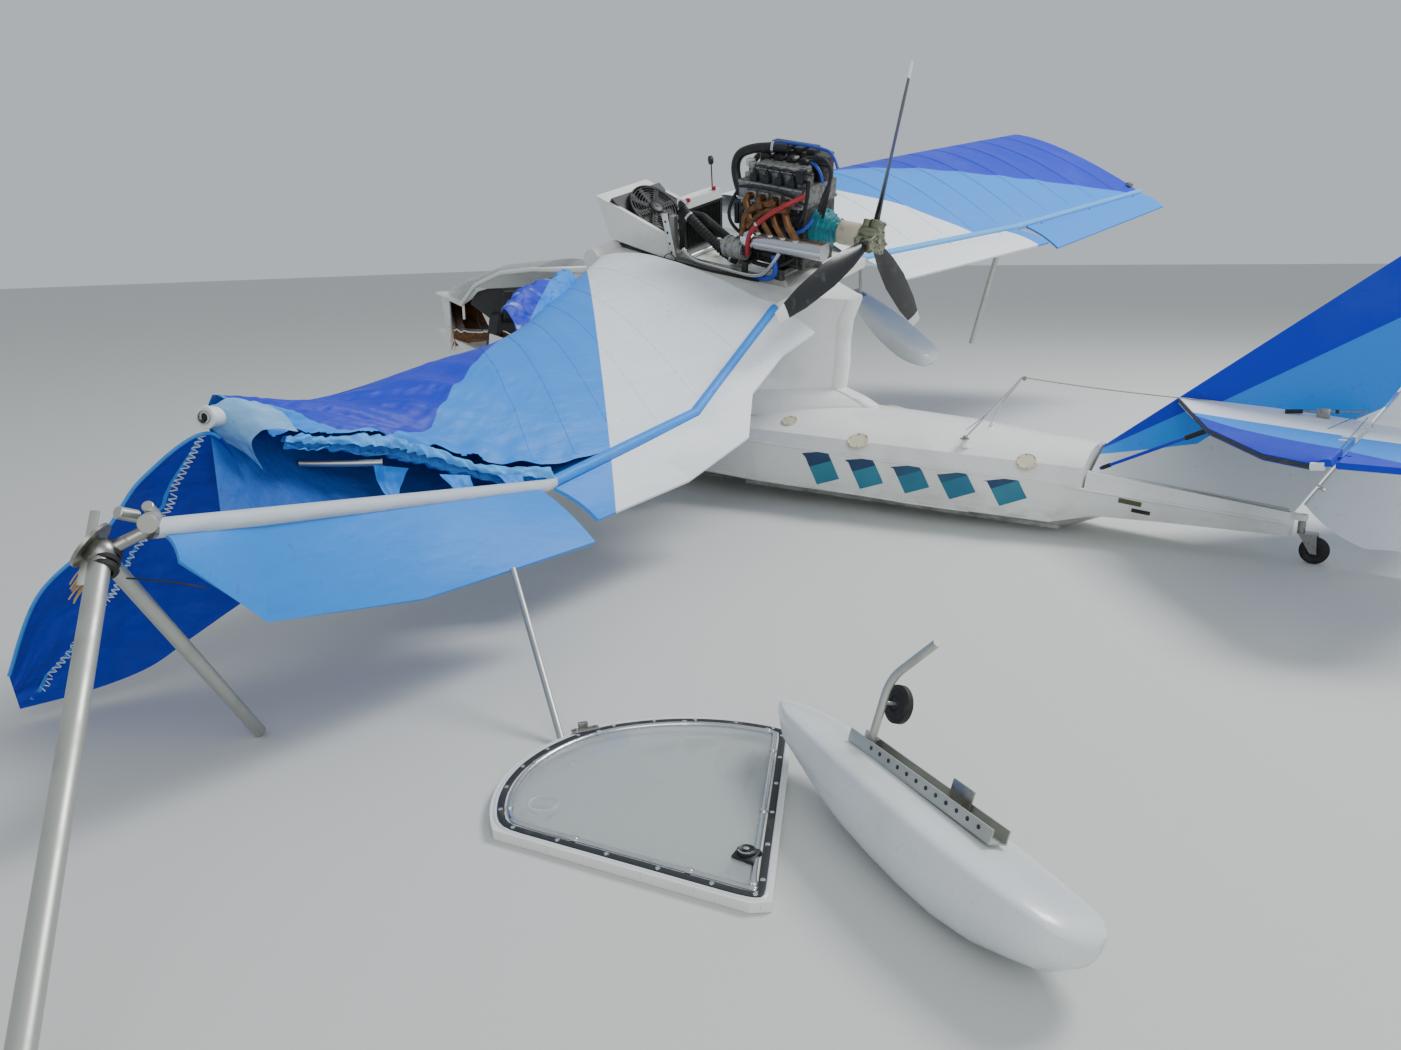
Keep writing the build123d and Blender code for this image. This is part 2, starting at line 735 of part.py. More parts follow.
with BuildPart() as port_aileron:
    aileron_rows = [
        (between(port_break, port_spar_end, 0.04), Vector(405, 2620, 385)),
        (between(port_break, port_spar_end, 0.45), Vector(355, 3440, 400)),
        (between(port_break, port_spar_end, 0.80), Vector(320, 3970, 490)),
        (between(port_break, port_spar_end, 0.985), Vector(225, 4225, 740)),
    ]
    loft(
        sections=[
            slack_skin(off_spar(lead, trail, flap_reach + 0.6, port_run_out), trail, -14, flap_thick)
            for lead, trail in aileron_rows
        ],
        ruled=True,
    )
finish(port_aileron.part, "port_aileron")

# Lift strut stubs that still hang from the port wing and stand in the grass
strut_joint = port_spar_end + Vector(30, 110, -40)
joint_radius = 36
long_strut_foot = Vector(-650, 5045, 21)
short_strut_foot = Vector(690, 3850, 18)
rod_top = Vector(366.8, 3060, 400)
rod_foot_point = Vector(-115, 3330, 10)
with BuildPart() as port_struts:
    for foot, radius in ((long_strut_foot, spar_radius), (short_strut_foot, 20)):
        run = (foot - strut_joint).normalized()
        mouth = sqrt((joint_radius + seat_gap) ** 2 - (radius - spar_wall) ** 2)
        bar(strut_joint + run * mouth, foot, radius, radius - spar_wall)
    bar(rod_top, rod_foot_point, 11)
finish(port_struts.part, "port_struts")

with BuildPart() as strut_bracket:
    ball_plane = Plane(origin=strut_joint, x_dir=forward, z_dir=port)
    with BuildSketch(ball_plane) as half_disc:
        with BuildLine():
            ThreePointArc((0, -joint_radius), (joint_radius, 0), (0, joint_radius))
            Line((0, joint_radius), (0, -joint_radius))
        make_face()
    revolve(half_disc.sketch, axis=Axis(strut_joint, (0, 0, 1)))
    spar_run = (port_spar_end - port_break).normalized()
    bar(port_spar_end + spar_run * seat_gap, port_spar_end + spar_run * 12, spar_radius)
    bar(port_spar_end + spar_run * 6, strut_joint, 15)
    bar(strut_joint + Vector(17, 11, 17), strut_joint + Vector(22, 15, 22), 62)
finish(strut_bracket.part, "strut_bracket")

with BuildPart() as starboard_wing:
    star_wing_rows = [
        (star_root_lead, off_spar(star_root_hinge, star_root_lead, tail_reach, star_run_in), wing_camber, wing_nose),
        (star_mid_lead, off_spar(star_mid_hinge, star_mid_lead, tail_reach, star_run_in, star_run_out), wing_camber,
         wing_nose),
        (star_tip_lead, off_spar(star_tip_hinge, star_tip_lead, tail_reach, star_run_out), 60, wing_nose),
    ]
    loft(sections=wing_rows(star_wing_rows), ruled=True)
    loft(sections=wing_rows(star_wing_rows, wing_skin), ruled=True, mode=Mode.SUBTRACT)
finish(starboard_wing.part, "starboard_wing")

hinge_drop = Vector(-38, 0, -18)    # from the spar's axis to the hinge line of the surface behind it
flap_hinge = (
    between(star_root_hinge, star_mid_hinge, 0.04) + hinge_drop,
    between(star_root_hinge, star_mid_hinge, 0.96) + hinge_drop,
)
aileron_hinge = (
    between(star_mid_hinge, star_tip_hinge, 0.04) + hinge_drop,
    between(star_mid_hinge, star_tip_hinge, 0.985) + hinge_drop,
)
flap_lugs = (0.1, 0.5, 0.86)
aileron_lugs = (0.1, 0.5, 0.9)
surface_nose = 11
with BuildPart() as starboard_rear_spar:
    bent_tube([spar_start_at(star_root_hinge, star_run_in), star_mid_hinge, star_tip_hinge], (200,), spar_radius)
    lugs(*flap_hinge, flap_lugs, -hinge_drop.normalized(), hinge_drop.length)
    lugs(*aileron_hinge, aileron_lugs, -hinge_drop.normalized(), hinge_drop.length)
finish(starboard_rear_spar.part, "starboard_rear_spar")

with BuildPart() as starboard_flap:
    loft(
        sections=[
            slack_skin(flap_hinge[0], Vector(860, flap_hinge[0].Y, 1221), -12, flap_thick),
            slack_skin(flap_hinge[1], Vector(671, flap_hinge[1].Y, 1432), -12, flap_thick),
        ],
        ruled=True,
    )
    knuckle(*flap_hinge, flap_lugs, surface_nose)
finish(starboard_flap.part, "starboard_flap")

with BuildPart() as starboard_aileron:
    loft(
        sections=[
            slack_skin(aileron_hinge[0], Vector(664, aileron_hinge[0].Y, 1392), -12, flap_thick),
            slack_skin(aileron_hinge[1], Vector(460, aileron_hinge[1].Y, 1713), -12, flap_thick),
        ],
        ruled=True,
    )
    knuckle(*aileron_hinge, aileron_lugs, surface_nose)
finish(starboard_aileron.part, "starboard_aileron")

# Starboard strut stub and wing float, hanging from the wing
with BuildPart() as starboard_strut:
    strut_top = Vector(*row_at([[p.Y, p.X, p.Z] for p in (star_mid_hinge, star_root_hinge)], -2400))
    strut_top = Vector(strut_top.Y, strut_top.X, strut_top.Z)
    strut_run = Vector(218, 0, -840).normalized()
    bar(strut_top + strut_run * (spar_radius + 2.7), strut_top + strut_run * 870, 20, 17)
finish(starboard_strut.part, "starboard_strut")


def float_section(centre, across, half_width, depth, run):
    """Float frame: flat top, round sides and bottom."""
    with BuildSketch(Plane(origin=centre, x_dir=across, z_dir=run)) as frame:
        with BuildLine():
            Line((-half_width, 0), (half_width, 0))
            ThreePointArc((half_width, 0), (0, -depth), (-half_width, 0))
        make_face()
    return frame.sketch


# Float sections: share of length, half width, depth, rise of the deck line
float_length = 1230
float_stations = [(0.0, 35, 40, 0), (0.12, 85, 110, 12), (0.4, 125, 190, 20), (0.75, 130, 200, 12), (1.0, 100, 120, 0)]


def float_body(nose, tail, deck_up):
    """Wing float along a line from nose to tail."""
    run = (tail - nose).normalized()
    across = deck_up.cross(run).normalized()
    true_up = run.cross(across)
    sections = []
    for share, half_width, depth, rise in float_stations:
        centre = between(nose, tail, share) + true_up * rise
        sections.append(float_section(centre, across, half_width, depth, run))
    loft(sections=sections, ruled=True)


float_hanger = Vector(1950, -1956, 1882.4)    # where the float's tube meets the wing's underside
star_float_nose = Vector(1990, -1960, 1120)
star_float_tail = Vector(1230, -1900, 640)
with BuildPart() as starboard_float:
    float_body(star_float_nose, star_float_tail, Vector(-0.5, 0.25, 0.83))
    bar(between(star_float_nose, star_float_tail, 0.1), float_hanger, 13)
finish(starboard_float.part, "starboard_float")

port_float_nose = Vector(-690, 2975, 178.4)
port_float_tail = Vector(-1770, 3540, 188.4)
port_float_up = Vector(0.25, -0.45, 0.86)
with BuildPart() as port_float:
    float_body(port_float_nose, port_float_tail, port_float_up)
finish(port_float.part, "port_float")

# Channel along the port float's deck, with a bent tube and a small wheel at its front
float_run = (port_float_tail - port_float_nose).normalized()
float_side = port_float_up.cross(float_run).normalized()
float_up = float_run.cross(float_side)
channel_from = port_float_nose + float_run * 370 + float_up * (20 + seat_gap)
channel_length = 560
channel_half = 26
wheel_point = channel_from + float_run * 60 + float_up * 130 + float_side * 50
float_wheel_radius = 50
float_axle_radius = 5
with BuildPart() as float_channel:
    with BuildSketch(Plane(origin=channel_from, x_dir=float_side, z_dir=float_run)) as channel:
        with BuildLine():
            Polyline((-channel_half, 0), (channel_half, 0), (channel_half, 34), (channel_half - 4, 34),
                     (channel_half - 4, 4), (4 - channel_half, 4), (4 - channel_half, 34), (-channel_half, 34),
                     close=True)
        make_face()
    extrude(channel.sketch, amount=channel_length)
    post_foot = channel_from + float_run * 60 + float_up * 3
    bent_tube(
        [post_foot, post_foot + float_up * 190, post_foot + float_up * 330 + float_run * 130],
        (120,),
        11,
    )
    bar(post_foot + float_up * 127, wheel_point + float_side * 22, float_axle_radius)
finish(float_channel.part, "float_channel")

# Tail: fin over a triangular fairing, rudder, stabilisers and elevators
hinge_foot = Vector(-1540, 0, 262)
hinge_run = Vector(-0.492, 0, 0.871)
fin_half = 16
fin_lead_slope = 1.2527
stern_gap = 26          # from the fin's rear edge to the rudder's hinge line
fin_top_z = 1770
fairing_front_x = -622
fairing_front_z = 452
fairing_top_x = -921
stab_thick = 28
stab_root_lead = Vector(-955, 0, 704)
stab_root_rear = Vector(-1745, 0, 652)
rudder_half = 14


def hinge_at(height, set_off=0):
    """Point on the rudder's hinge line at a height, set off forward."""
    return hinge_foot + hinge_run * ((height - hinge_foot.Z) / hinge_run.Z) + Vector(set_off, 0, 0)


def fairing_top(x):
    """Top of the fairing, just under the stabilisers' roots."""
    share = (x - stab_root_lead.X) / (stab_root_rear.X - stab_root_lead.X)
    return stab_root_lead.Z + (stab_root_rear.Z - stab_root_lead.Z) * share - stab_thick / 2 - 2


rear_top_z = 634
rear_top_x = hinge_at(rear_top_z, stern_gap).X
rear_top_z = fairing_top(rear_top_x)
front_top_z = fairing_top(fairing_top_x)
fin_low_front = Vector(fairing_top_x, 0, front_top_z + seat_gap)
fin_low_rear = hinge_at(rear_top_z + seat_gap, stern_gap)
rudder_low = hinge_at(264)
rudder_high = hinge_at(fin_top_z - 20)
rudder_lugs = (0.06, 0.42, 0.8)
with BuildPart() as fin:
    with BuildSketch(Plane(origin=(0, 0, 0), x_dir=forward, z_dir=-port)) as outline:
        fin_top_x = fin_low_front.X - (fin_top_z - fin_low_front.Z) * fin_lead_slope
        with BuildLine():
            Polyline(
                (fin_low_front.X, fin_low_front.Z),
                (fin_top_x, fin_top_z),
                (hinge_at(fin_top_z, stern_gap).X, fin_top_z),
                (fin_low_rear.X, fin_low_rear.Z),
                close=True,
            )
        make_face()
    extrude(outline.sketch, amount=fin_half, both=True)
    lugs(rudder_low, rudder_high, rudder_lugs[1:], forward, stern_gap + 2)
finish(fin.part, "fin")


def fairing_section(x, half_width, top_z):
    """Tent-shaped frame that stands on the flat tail deck."""
    foot_z = tail_deck_z(x) + seat_gap
    with BuildSketch(Plane(origin=(x, 0, 0), x_dir=port, z_dir=forward)) as frame:
        with BuildLine():
            Polyline((half_width, foot_z), (fin_half, top_z), (-fin_half, top_z), (-half_width, foot_z), close=True)
        make_face()
    return frame.sketch


with BuildPart() as fin_fairing:
    rear_foot = hinge_at(tail_deck_z(stern_x) + 1, stern_gap)
    with BuildSketch(Plane(origin=rear_foot, x_dir=port, z_dir=(0.871, 0, 0.492))) as rear:
        rise = (rear_top_z - rear_foot.Z) / 0.871
        with BuildLine():
            Polyline((62, 0), (fin_half, rise), (-fin_half, rise), (-62, 0), close=True)
        make_face()
    loft(
        sections=[
            fairing_section(fairing_front_x, 186, fairing_front_z),
            fairing_section(fairing_top_x, 126, front_top_z),
            rear.sketch,
        ],
        ruled=True,
    )
    lugs(rudder_low, rudder_high, rudder_lugs[:1], forward, stern_gap + 2)
finish(fin_fairing.part, "fin_fairing")

with BuildPart() as rudder:
    with BuildSketch(Plane(origin=(0, 0, 0), x_dir=forward, z_dir=-port)) as outline:
        with BuildLine():
            Line((rudder_low.X, rudder_low.Z), (rudder_high.X, rudder_high.Z))
            Line((rudder_high.X, rudder_high.Z), (rudder_high.X - 300, rudder_high.Z - 60))
            Line((rudder_high.X - 300, rudder_high.Z - 60), (-2290, 430))
            ThreePointArc((-2290, 430), (-2140, 190), (-1900, 112))
            Line((-1900, 112), (-1790, 104))
            ThreePointArc((-1790, 104), (-1645, 172), (rudder_low.X, rudder_low.Z))
        make_face()
    extrude(outline.sketch, amount=rudder_half, both=True)
    knuckle(rudder_low, rudder_high, rudder_lugs, rudder_half)
finish(rudder.part, "rudder")

# Stabiliser: y and the leading edge's x and z, from the root to the tip
stab_rows = [
    (fin_half + seat_gap, stab_root_lead.X, stab_root_lead.Z, stab_root_rear.Z),
    (450, -1192, 640, 655),
    (800, -1477, 615, 658),
    (1050, -1695, 640, 660),
]
stab_rear_x = stab_root_rear.X
elevator_z = 656
elevator_root = 75
elevator_tip = 1060
elevator_half = 12
elevator_nose = 13
elevator_hinge_x = stab_rear_x - 26
elevator_lugs = (0.16, 0.85)
with BuildPart() as stabilisers:
    for side in (1, -1):
        loft(
            sections=[
                slack_skin(Vector(lead_x, side * y, lead_z), Vector(stab_rear_x, side * y, rear_z), -8, stab_thick)
                for y, lead_x, lead_z, rear_z in stab_rows
            ],
            ruled=True,
        )
        lugs(Vector(elevator_hinge_x, side * elevator_root, elevator_z),
             Vector(elevator_hinge_x, side * elevator_tip, elevator_z),
             elevator_lugs, forward, 30)
        bar(Vector(-672, side * 196, 372), Vector(-1190, side * 400, 640), 8)
finish(stabilisers.part, "stabilisers")

for side, name in ((1, "elevator_port"), (-1, "elevator_starboard")):
    with BuildPart() as elevator:
        with BuildSketch(Plane.XY.offset(elevator_z)) as plan:
            with BuildLine():
                Polyline(
                    (elevator_hinge_x, side * elevator_root),
                    (elevator_hinge_x, side * elevator_tip),
                    (elevator_hinge_x - 200, side * (elevator_tip - 10)),
                    (elevator_hinge_x - 360, side * (elevator_tip - 170)),
                    (elevator_hinge_x - 360, side * (elevator_root + 205)),
                    close=True,
                )
            make_face()
        extrude(plan.sketch, amount=elevator_half, both=True)
        knuckle(Vector(elevator_hinge_x, side * elevator_root, elevator_z),
                Vector(elevator_hinge_x, side * elevator_tip, elevator_z),
                elevator_lugs, elevator_nose)
    finish(elevator.part, name)

# Tail wheel on a swivelling fork
tail_wheel_radius = 62
tail_wheel_centre = Vector(-1594, 0, tail_wheel_radius)
tail_axle_radius = 6.5
crown_low = 133
crown_high = bracket_low - 56
with BuildPart() as tail_fork:
    bar(Vector(fork_axis_x, 0, crown_low), Vector(fork_axis_x, 0, bracket_high), stem_radius)
    bar(Vector(fork_axis_x, 0, crown_low), Vector(fork_axis_x, 0, bracket_low - seat_gap), stem_radius + 6)
    with BuildSketch(Plane.XY.offset(crown_low)) as crown:
        with Locations((fork_axis_x - 31, 0)):
            Rectangle(78, 60)
    extrude(crown.sketch, amount=crown_high - crown_low)
    for side in (1, -1):
        with BuildSketch(Plane(origin=(0, side * 28, 0), x_dir=forward, z_dir=-port)) as leg:
            with BuildLine():
                Polyline((fork_axis_x + 6, 136), (-1600, 136), (-1608, 50), (-1580, 50), close=True)
            make_face()
        extrude(leg.sketch, amount=2, both=True)
    axle_end = Vector(0, 28, 0)
    bar(tail_wheel_centre - axle_end, tail_wheel_centre + axle_end, tail_axle_radius)
finish(tail_fork.part, "tail_fork")


def wheel(centre, radius, width, hub_radius, bore, axle=port):
    """Wheel with a round-shouldered tyre, revolved about its axle."""
    half = width / 2
    outward = axle.cross(forward).normalized()
    with BuildSketch(Plane(origin=centre, x_dir=outward, z_dir=outward.cross(axle))) as profile:
        with BuildLine():
            Polyline((bore, -half * 0.8), (hub_radius, -half * 0.8), (hub_radius, -half), (radius - half, -half))
            ThreePointArc((radius - half, -half), (radius, 0), (radius - half, half))
            Polyline((radius - half, half), (hub_radius, half), (hub_radius, half * 0.8), (bore, half * 0.8))
            Line((bore, half * 0.8), (bore, -half * 0.8))
        make_face()
    revolve(profile.sketch, axis=Axis(centre, axle))


with BuildPart() as tail_wheel:
    wheel(tail_wheel_centre, tail_wheel_radius, 38, 30, tail_axle_radius + pin_clear)
finish(tail_wheel.part, "tail_wheel")

# Small wheel on the port float's bent tube
with BuildPart() as float_wheel:
    wheel(wheel_point, float_wheel_radius, 26, 22, float_axle_radius + pin_clear, float_side)
finish(float_wheel.part, "float_wheel")

# Main wheels, swung up beside the hull
main_radius = 165
main_centre = Vector(1600, 760, 340)
main_width = 90
axle_radius = 12
boss_face = 513         # inner face of the leg's boss, just off the hull's side
for side, name in ((1, "main_wheel_port"), (-1, "main_wheel_starboard")):
    with BuildPart() as main_wheel:
        wheel(Vector(main_centre.X, side * main_centre.Y, main_centre.Z), main_radius, main_width, 78,
              axle_radius + pin_clear)
    finish(main_wheel.part, name)

with BuildPart() as gear_legs:
    for side in (1, -1):
        inner = main_centre.Y - main_width / 2 - 24
        knee = Vector(main_centre.X, side * inner, main_centre.Z)
        bar(knee, Vector(main_centre.X, side * (main_centre.Y + 52), main_centre.Z), axle_radius)
        bar(knee, Vector(1440, side * 560, 400), 18)
        bar(Vector(1440, side * boss_face, 400), Vector(1440, side * 580, 400), 26)
finish(gear_legs.part, "gear_legs")

# Deck fittings: a bent aerial on a cone, a short rod and round covers
with BuildPart() as deck_mast:
    bar(Vector(mast_foot[0], mast_foot[1], mast_foot[3] + 3.4 + seat_gap), Vector(-280, 250, 800), 5)
    bar(Vector(rod_foot[0], rod_foot[1], rod_foot[3] + 1.6 + seat_gap), Vector(-92, 40, 638), 4)
finish(deck_mast.part, "deck_mast")

root_y = 450            # the wings' root ribs
with BuildPart() as wing_centre:
    with BuildSketch(side_plane(0)) as profile:
        with BuildLine():
            Line((320, centre_under), (620, centre_under))
            Line((620, centre_under), (640, -450))
            Line((640, -450), (1700, -372))
            ThreePointArc((1700, -372), (1800, -342), (1690, centre_top))
            Line((1690, centre_top), (320, centre_top))
            Line((320, centre_top), (320, centre_under))
        make_face()
    extrude(profile.sketch, amount=650, both=True)
    split(bisect_by=Plane(origin=(0, root_y - seat_gap, 0), z_dir=port), keep=Keep.BOTTOM)
    split(bisect_by=Plane(origin=(0, -root_y + seat_gap, 0), z_dir=port), keep=Keep.TOP)
finish(wing_centre.part, "wing_centre")

# Engine bearers: two rails with uprights at the front, joined by cross tubes
rail_t = 200
rail_half = 16
rail_low = centre_top + seat_gap
rail_high = rail_low + 34
upright_from = 1228
upright_to = 1275
with BuildPart() as engine_mount:
    for t in (rail_t, -rail_t):
        with BuildSketch(side_plane(t)) as rail:
            with BuildLine():
                Polyline((420, rail_low), (upright_to - 15, rail_low), (upright_to, -40), (upright_from + 12, -40),
                         (upright_from, rail_high), (440, rail_high), close=True)
            make_face()
        extrude(rail.sketch, amount=rail_half, both=True)
    for s in (520, 860, 1180):
        reach = rail_t - rail_half
        bar(spot(s, -reach, rail_low + 17), spot(s, reach, rail_low + 17), 14)
finish(engine_mount.part, "engine_mount")

block_rear = 350
block_front = 800
block_half = 150
block_low = -210
block_top = 130
with BuildPart() as engine_block:
    with BuildSketch(side_plane(0)) as profile:
        with BuildLine():
            Polyline((block_rear, block_low), (block_front - 20, block_low), (block_front, -60),
                     (block_front, block_top), (block_rear, block_top), close=True)
        make_face()
    extrude(profile.sketch, amount=block_half, both=True)
    with BuildSketch(level_plane(block_low - 16)) as feet:
        with Locations((460, 0), (720, 0)):
            Rectangle(56, 2 * rail_t + 44)
    extrude(feet.sketch, amount=18)
    with BuildSketch(level_plane(rail_high + seat_gap)) as pads:
        with Locations((460, rail_t), (720, rail_t), (460, -rail_t), (720, -rail_t)):
            Circle(20)
    extrude(pads.sketch, amount=block_low - 16 - rail_high)
finish(engine_block.part, "engine_block")

head_half = 170
head_top = 240
with BuildPart() as cylinder_head:
    with BuildSketch(level_plane(block_top + seat_gap)) as plan:
        with Locations((570, 0)):
            Rectangle(430, 2 * head_half)
    extrude(plan.sketch, amount=head_top - block_top - seat_gap)
    with BuildSketch(level_plane(head_top)) as cover:
        with Locations((570, 60)):
            RectangleRounded(360, 150, 30)
    extrude(cover.sketch, amount=55)
finish(cylinder_head.part, "cylinder_head")

with BuildPart() as intake_manifold:
    with BuildSketch(level_plane(head_top + seat_gap)) as plan:
        with Locations((580, -95)):
            RectangleRounded(460, 120, 40)
    extrude(plan.sketch, amount=140)
finish(intake_manifold.part, "intake_manifold")

exhaust_radius = 21
with BuildPart() as exhaust_manifold:
    for index in range(4):
        s = 690 - 85 * index
        bent_tube(
            [spot(s, head_half + seat_gap, 165), spot(s, 235, 165), spot(s - 60, 262, 60), spot(s - 120, 240, -40)],
            (40, 50),
            exhaust_radius,
        )
    bar(spot(600, 240, -60), spot(160, 225, -48), 50)
finish(exhaust_manifold.part, "exhaust_manifold")

# Stepped reduction gearbox: distance ahead of the hub and radius of each step
gearbox_steps = [(205, 48), (225, 62), (250, 78), (275, 92), (300, 108), (block_rear - seat_gap, 118)]
shaft_radius = 20
with BuildPart() as gearbox:
    for (s, radius), (s_next, _) in zip(gearbox_steps[:-1], gearbox_steps[1:]):
        with BuildSketch(cross_plane(s)) as ring:
            Circle(radius)
        extrude(ring.sketch, amount=s_next - s)
    bar(spot(205, 0, 0), spot(90, 0, 0), shaft_radius)
finish(gearbox.part, "gearbox")

alternator_radius = 60
with BuildPart() as alternator:
    alternator_t = block_half + seat_gap + alternator_radius
    bar(spot(700, alternator_t, -140), spot(840, alternator_t, -140), alternator_radius)
finish(alternator.part, "alternator")

# Radiator cowl: an open wedge of white sheet with the core set aslant in it
cowl_half = 235
cowl_wall = 10
cowl_outline = [(1235, rail_low), (1760, -255), (1860, -5), (1690, -45), (1262, -160)]
with BuildPart() as radiator_cowl:
    for side in (1, -1):
        with BuildSketch(side_plane(side * (cowl_half - cowl_wall / 2))) as cheek:
            with BuildLine():
                Polyline(*cowl_outline, close=True)
            make_face()
        extrude(cheek.sketch, amount=cowl_wall / 2, both=True)
    for outline in (
        [(1292, -299), (1760, -255), (1764, -246), (1292, -290)],
        [(1860, -5), (1776, -25), (1773, -34), (1856, -14)],
    ):
        with BuildSketch(side_plane(0)) as sheet:
            with BuildLine():
                Polyline(*outline, close=True)
            make_face()
        extrude(sheet.sketch, amount=cowl_half - 2, both=True)
finish(radiator_cowl.part, "radiator_cowl")

fan_centre = spot(1580, 0, -95)
fan_axis = (lift_dir * 0.8 - shaft_dir * 0.6).normalized()
fan_radius = 165
core_depth = 40
fan_pin_radius = 8
with BuildPart() as radiator_core:
    face_plane = Plane(origin=fan_centre - fan_axis * 62, x_dir=side_dir, z_dir=fan_axis)
    with BuildSketch(face_plane) as slab:
        Rectangle(2 * (cowl_half - cowl_wall - seat_gap), 360)
    extrude(slab.sketch, amount=core_depth)
    with BuildSketch(face_plane.offset(core_depth)) as shroud:
        Circle(fan_radius + hinge_clear + 8)
        Circle(fan_radius + hinge_clear, mode=Mode.SUBTRACT)
    extrude(shroud.sketch, amount=34)
    with BuildSketch(face_plane.offset(core_depth)) as motor:
        Circle(40)
    extrude(motor.sketch, amount=6)
    with BuildSketch(face_plane.offset(core_depth + 6)) as pin:
        Circle(fan_pin_radius)
    extrude(pin.sketch, amount=30)
finish(radiator_core.part, "radiator_core")

with BuildPart() as cooling_fan:
    fan_plane = face_plane.offset(core_depth + 6 + hinge_clear)
    with BuildSketch(fan_plane) as hub:
        Circle(42)
    extrude(hub.sketch, amount=26)
    with BuildSketch(fan_plane.offset(4)) as blades:
        with PolarLocations(0, 8):
            with Locations((100, 0)):
                Rectangle(126, 34)
    extrude(blades.sketch, amount=12)
    with BuildSketch(fan_plane) as bore:
        Circle(fan_pin_radius + pin_clear)
    extrude(bore.sketch, amount=30, mode=Mode.SUBTRACT)
finish(cooling_fan.part, "cooling_fan")

cooler_from = 1186
cooler_depth = 45
with BuildPart() as oil_cooler:
    with BuildSketch(cross_plane(cooler_from, 0, -120)) as slab:
        Rectangle(2 * (rail_t - rail_half - seat_gap), 250)
    extrude(slab.sketch, amount=cooler_depth)
    with BuildSketch(cross_plane(cooler_from - 8, 0, 30)) as tank:
        RectangleRounded(340, 56, 20)
    extrude(tank.sketch, amount=cooler_depth + 16)
finish(oil_cooler.part, "oil_cooler")

hose_radius = 24
with BuildPart() as coolant_hose:
    bent_tube(
        [
            spot(cooler_from - seat_gap, 110, -40),
            spot(1100, 110, -40),
            spot(900, 95, -150),
            spot(block_front + seat_gap, 95, -150),
        ],
        (70, 90),
        hose_radius,
    )
finish(coolant_hose.part, "coolant_hose")

# Propeller: a spacer, a hub plate and three blades
blade_radius = 900
blade_lean = -18.5      # degrees, first blade from the unit's upright towards port
blade_root = 100        # radius where a blade leaves its socket


def blade_out(turn):
    """Direction of a blade turned from the power unit's upright towards port."""
    return lift_dir * cos(radians(turn)) + side_dir * sin(radians(turn))


with BuildPart() as propeller_hub:
    with BuildSketch(cross_plane(60)) as spacer:
        Circle(64)
    extrude(spacer.sketch, amount=gearbox_steps[0][0] - 60 - hinge_clear)
    with BuildSketch(cross_plane(-38)) as plate:
        Circle(66)
    extrude(plate.sketch, amount=98)
    for blade in range(3):
        out = blade_out(blade_lean + 120 * blade)
        bar(hub_point + out * 20, hub_point + out * (blade_root - seat_gap), 30)
    with BuildSketch(cross_plane(90 - hinge_clear)) as bore:
        Circle(shaft_radius + pin_clear)
    extrude(bore.sketch, amount=200, mode=Mode.SUBTRACT)
finish(propeller_hub.part, "propeller_hub")

# Blade sections: radius, chord, thickness, pitch in degrees
blade_stations = [(blade_root, 60, 34, 40), (240, 105, 24, 32), (430, 135, 17, 25), (680, 120, 11, 20), (blade_radius, 62, 6, 17)]


def blade_section(turn, radius, chord, thick, pitch):
    """Lens-shaped blade section square to the blade."""
    angle = radians(turn)
    out = blade_out(turn)
    tangent = side_dir * cos(angle) - lift_dir * sin(angle)
    chord_dir = tangent * cos(radians(pitch)) - shaft_dir * sin(radians(pitch))
    with BuildSketch(Plane(origin=hub_point + out * radius, x_dir=chord_dir, z_dir=out)) as lens:
        with BuildLine():
            ThreePointArc((-chord / 2, 0), (0, thick / 2), (chord / 2, 0))
            ThreePointArc((chord / 2, 0), (0, -thick / 2), (-chord / 2, 0))
        make_face()
    return lens.sketch


with BuildPart() as propeller_blades:
    for blade in range(3):
        turn = blade_lean + 120 * blade
        loft(sections=[blade_section(turn, *row) for row in blade_stations], ruled=True)
finish(propeller_blades.part, "propeller_blades")

# Cabin door, lying flat on the ground beside the wing


def door_face(z, inset):
    """Door plan: two straight sides and one long curved side, set in by a margin."""
    with BuildSketch(Plane.XY.offset(z)) as plan:
        with BuildLine():
            Line((-674, 2914), (-1098, 3638))
            Line((-1098, 3638), (-1060, 3672))
            Line((-1060, 3672), (-358, 3811))
            ThreePointArc((-358, 3811), (-133, 3511), (-158, 3203))
            ThreePointArc((-158, 3203), (-371, 2976), (-640, 2880))
            Line((-640, 2880), (-674, 2914))
        make_face()
        if inset:
            offset(amount=-inset)
    return plan.sketch


door_thick = 26
door_rim = 46
with BuildPart() as door_frame:
    extrude(door_face(0, 0), amount=door_thick)
    extrude(door_face(0, door_rim), amount=door_thick, mode=Mode.SUBTRACT)
finish(door_frame.part, "door_frame")

with BuildPart() as door_pane:
    extrude(door_face(10, door_rim + 0.3), amount=6)
finish(door_pane.part, "door_pane")
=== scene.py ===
import bpy
import bmesh
from math import cos, sin, pi, radians, sqrt
from mathutils import Matrix, Vector, noise
from mathutils.bvhtree import BVHTree


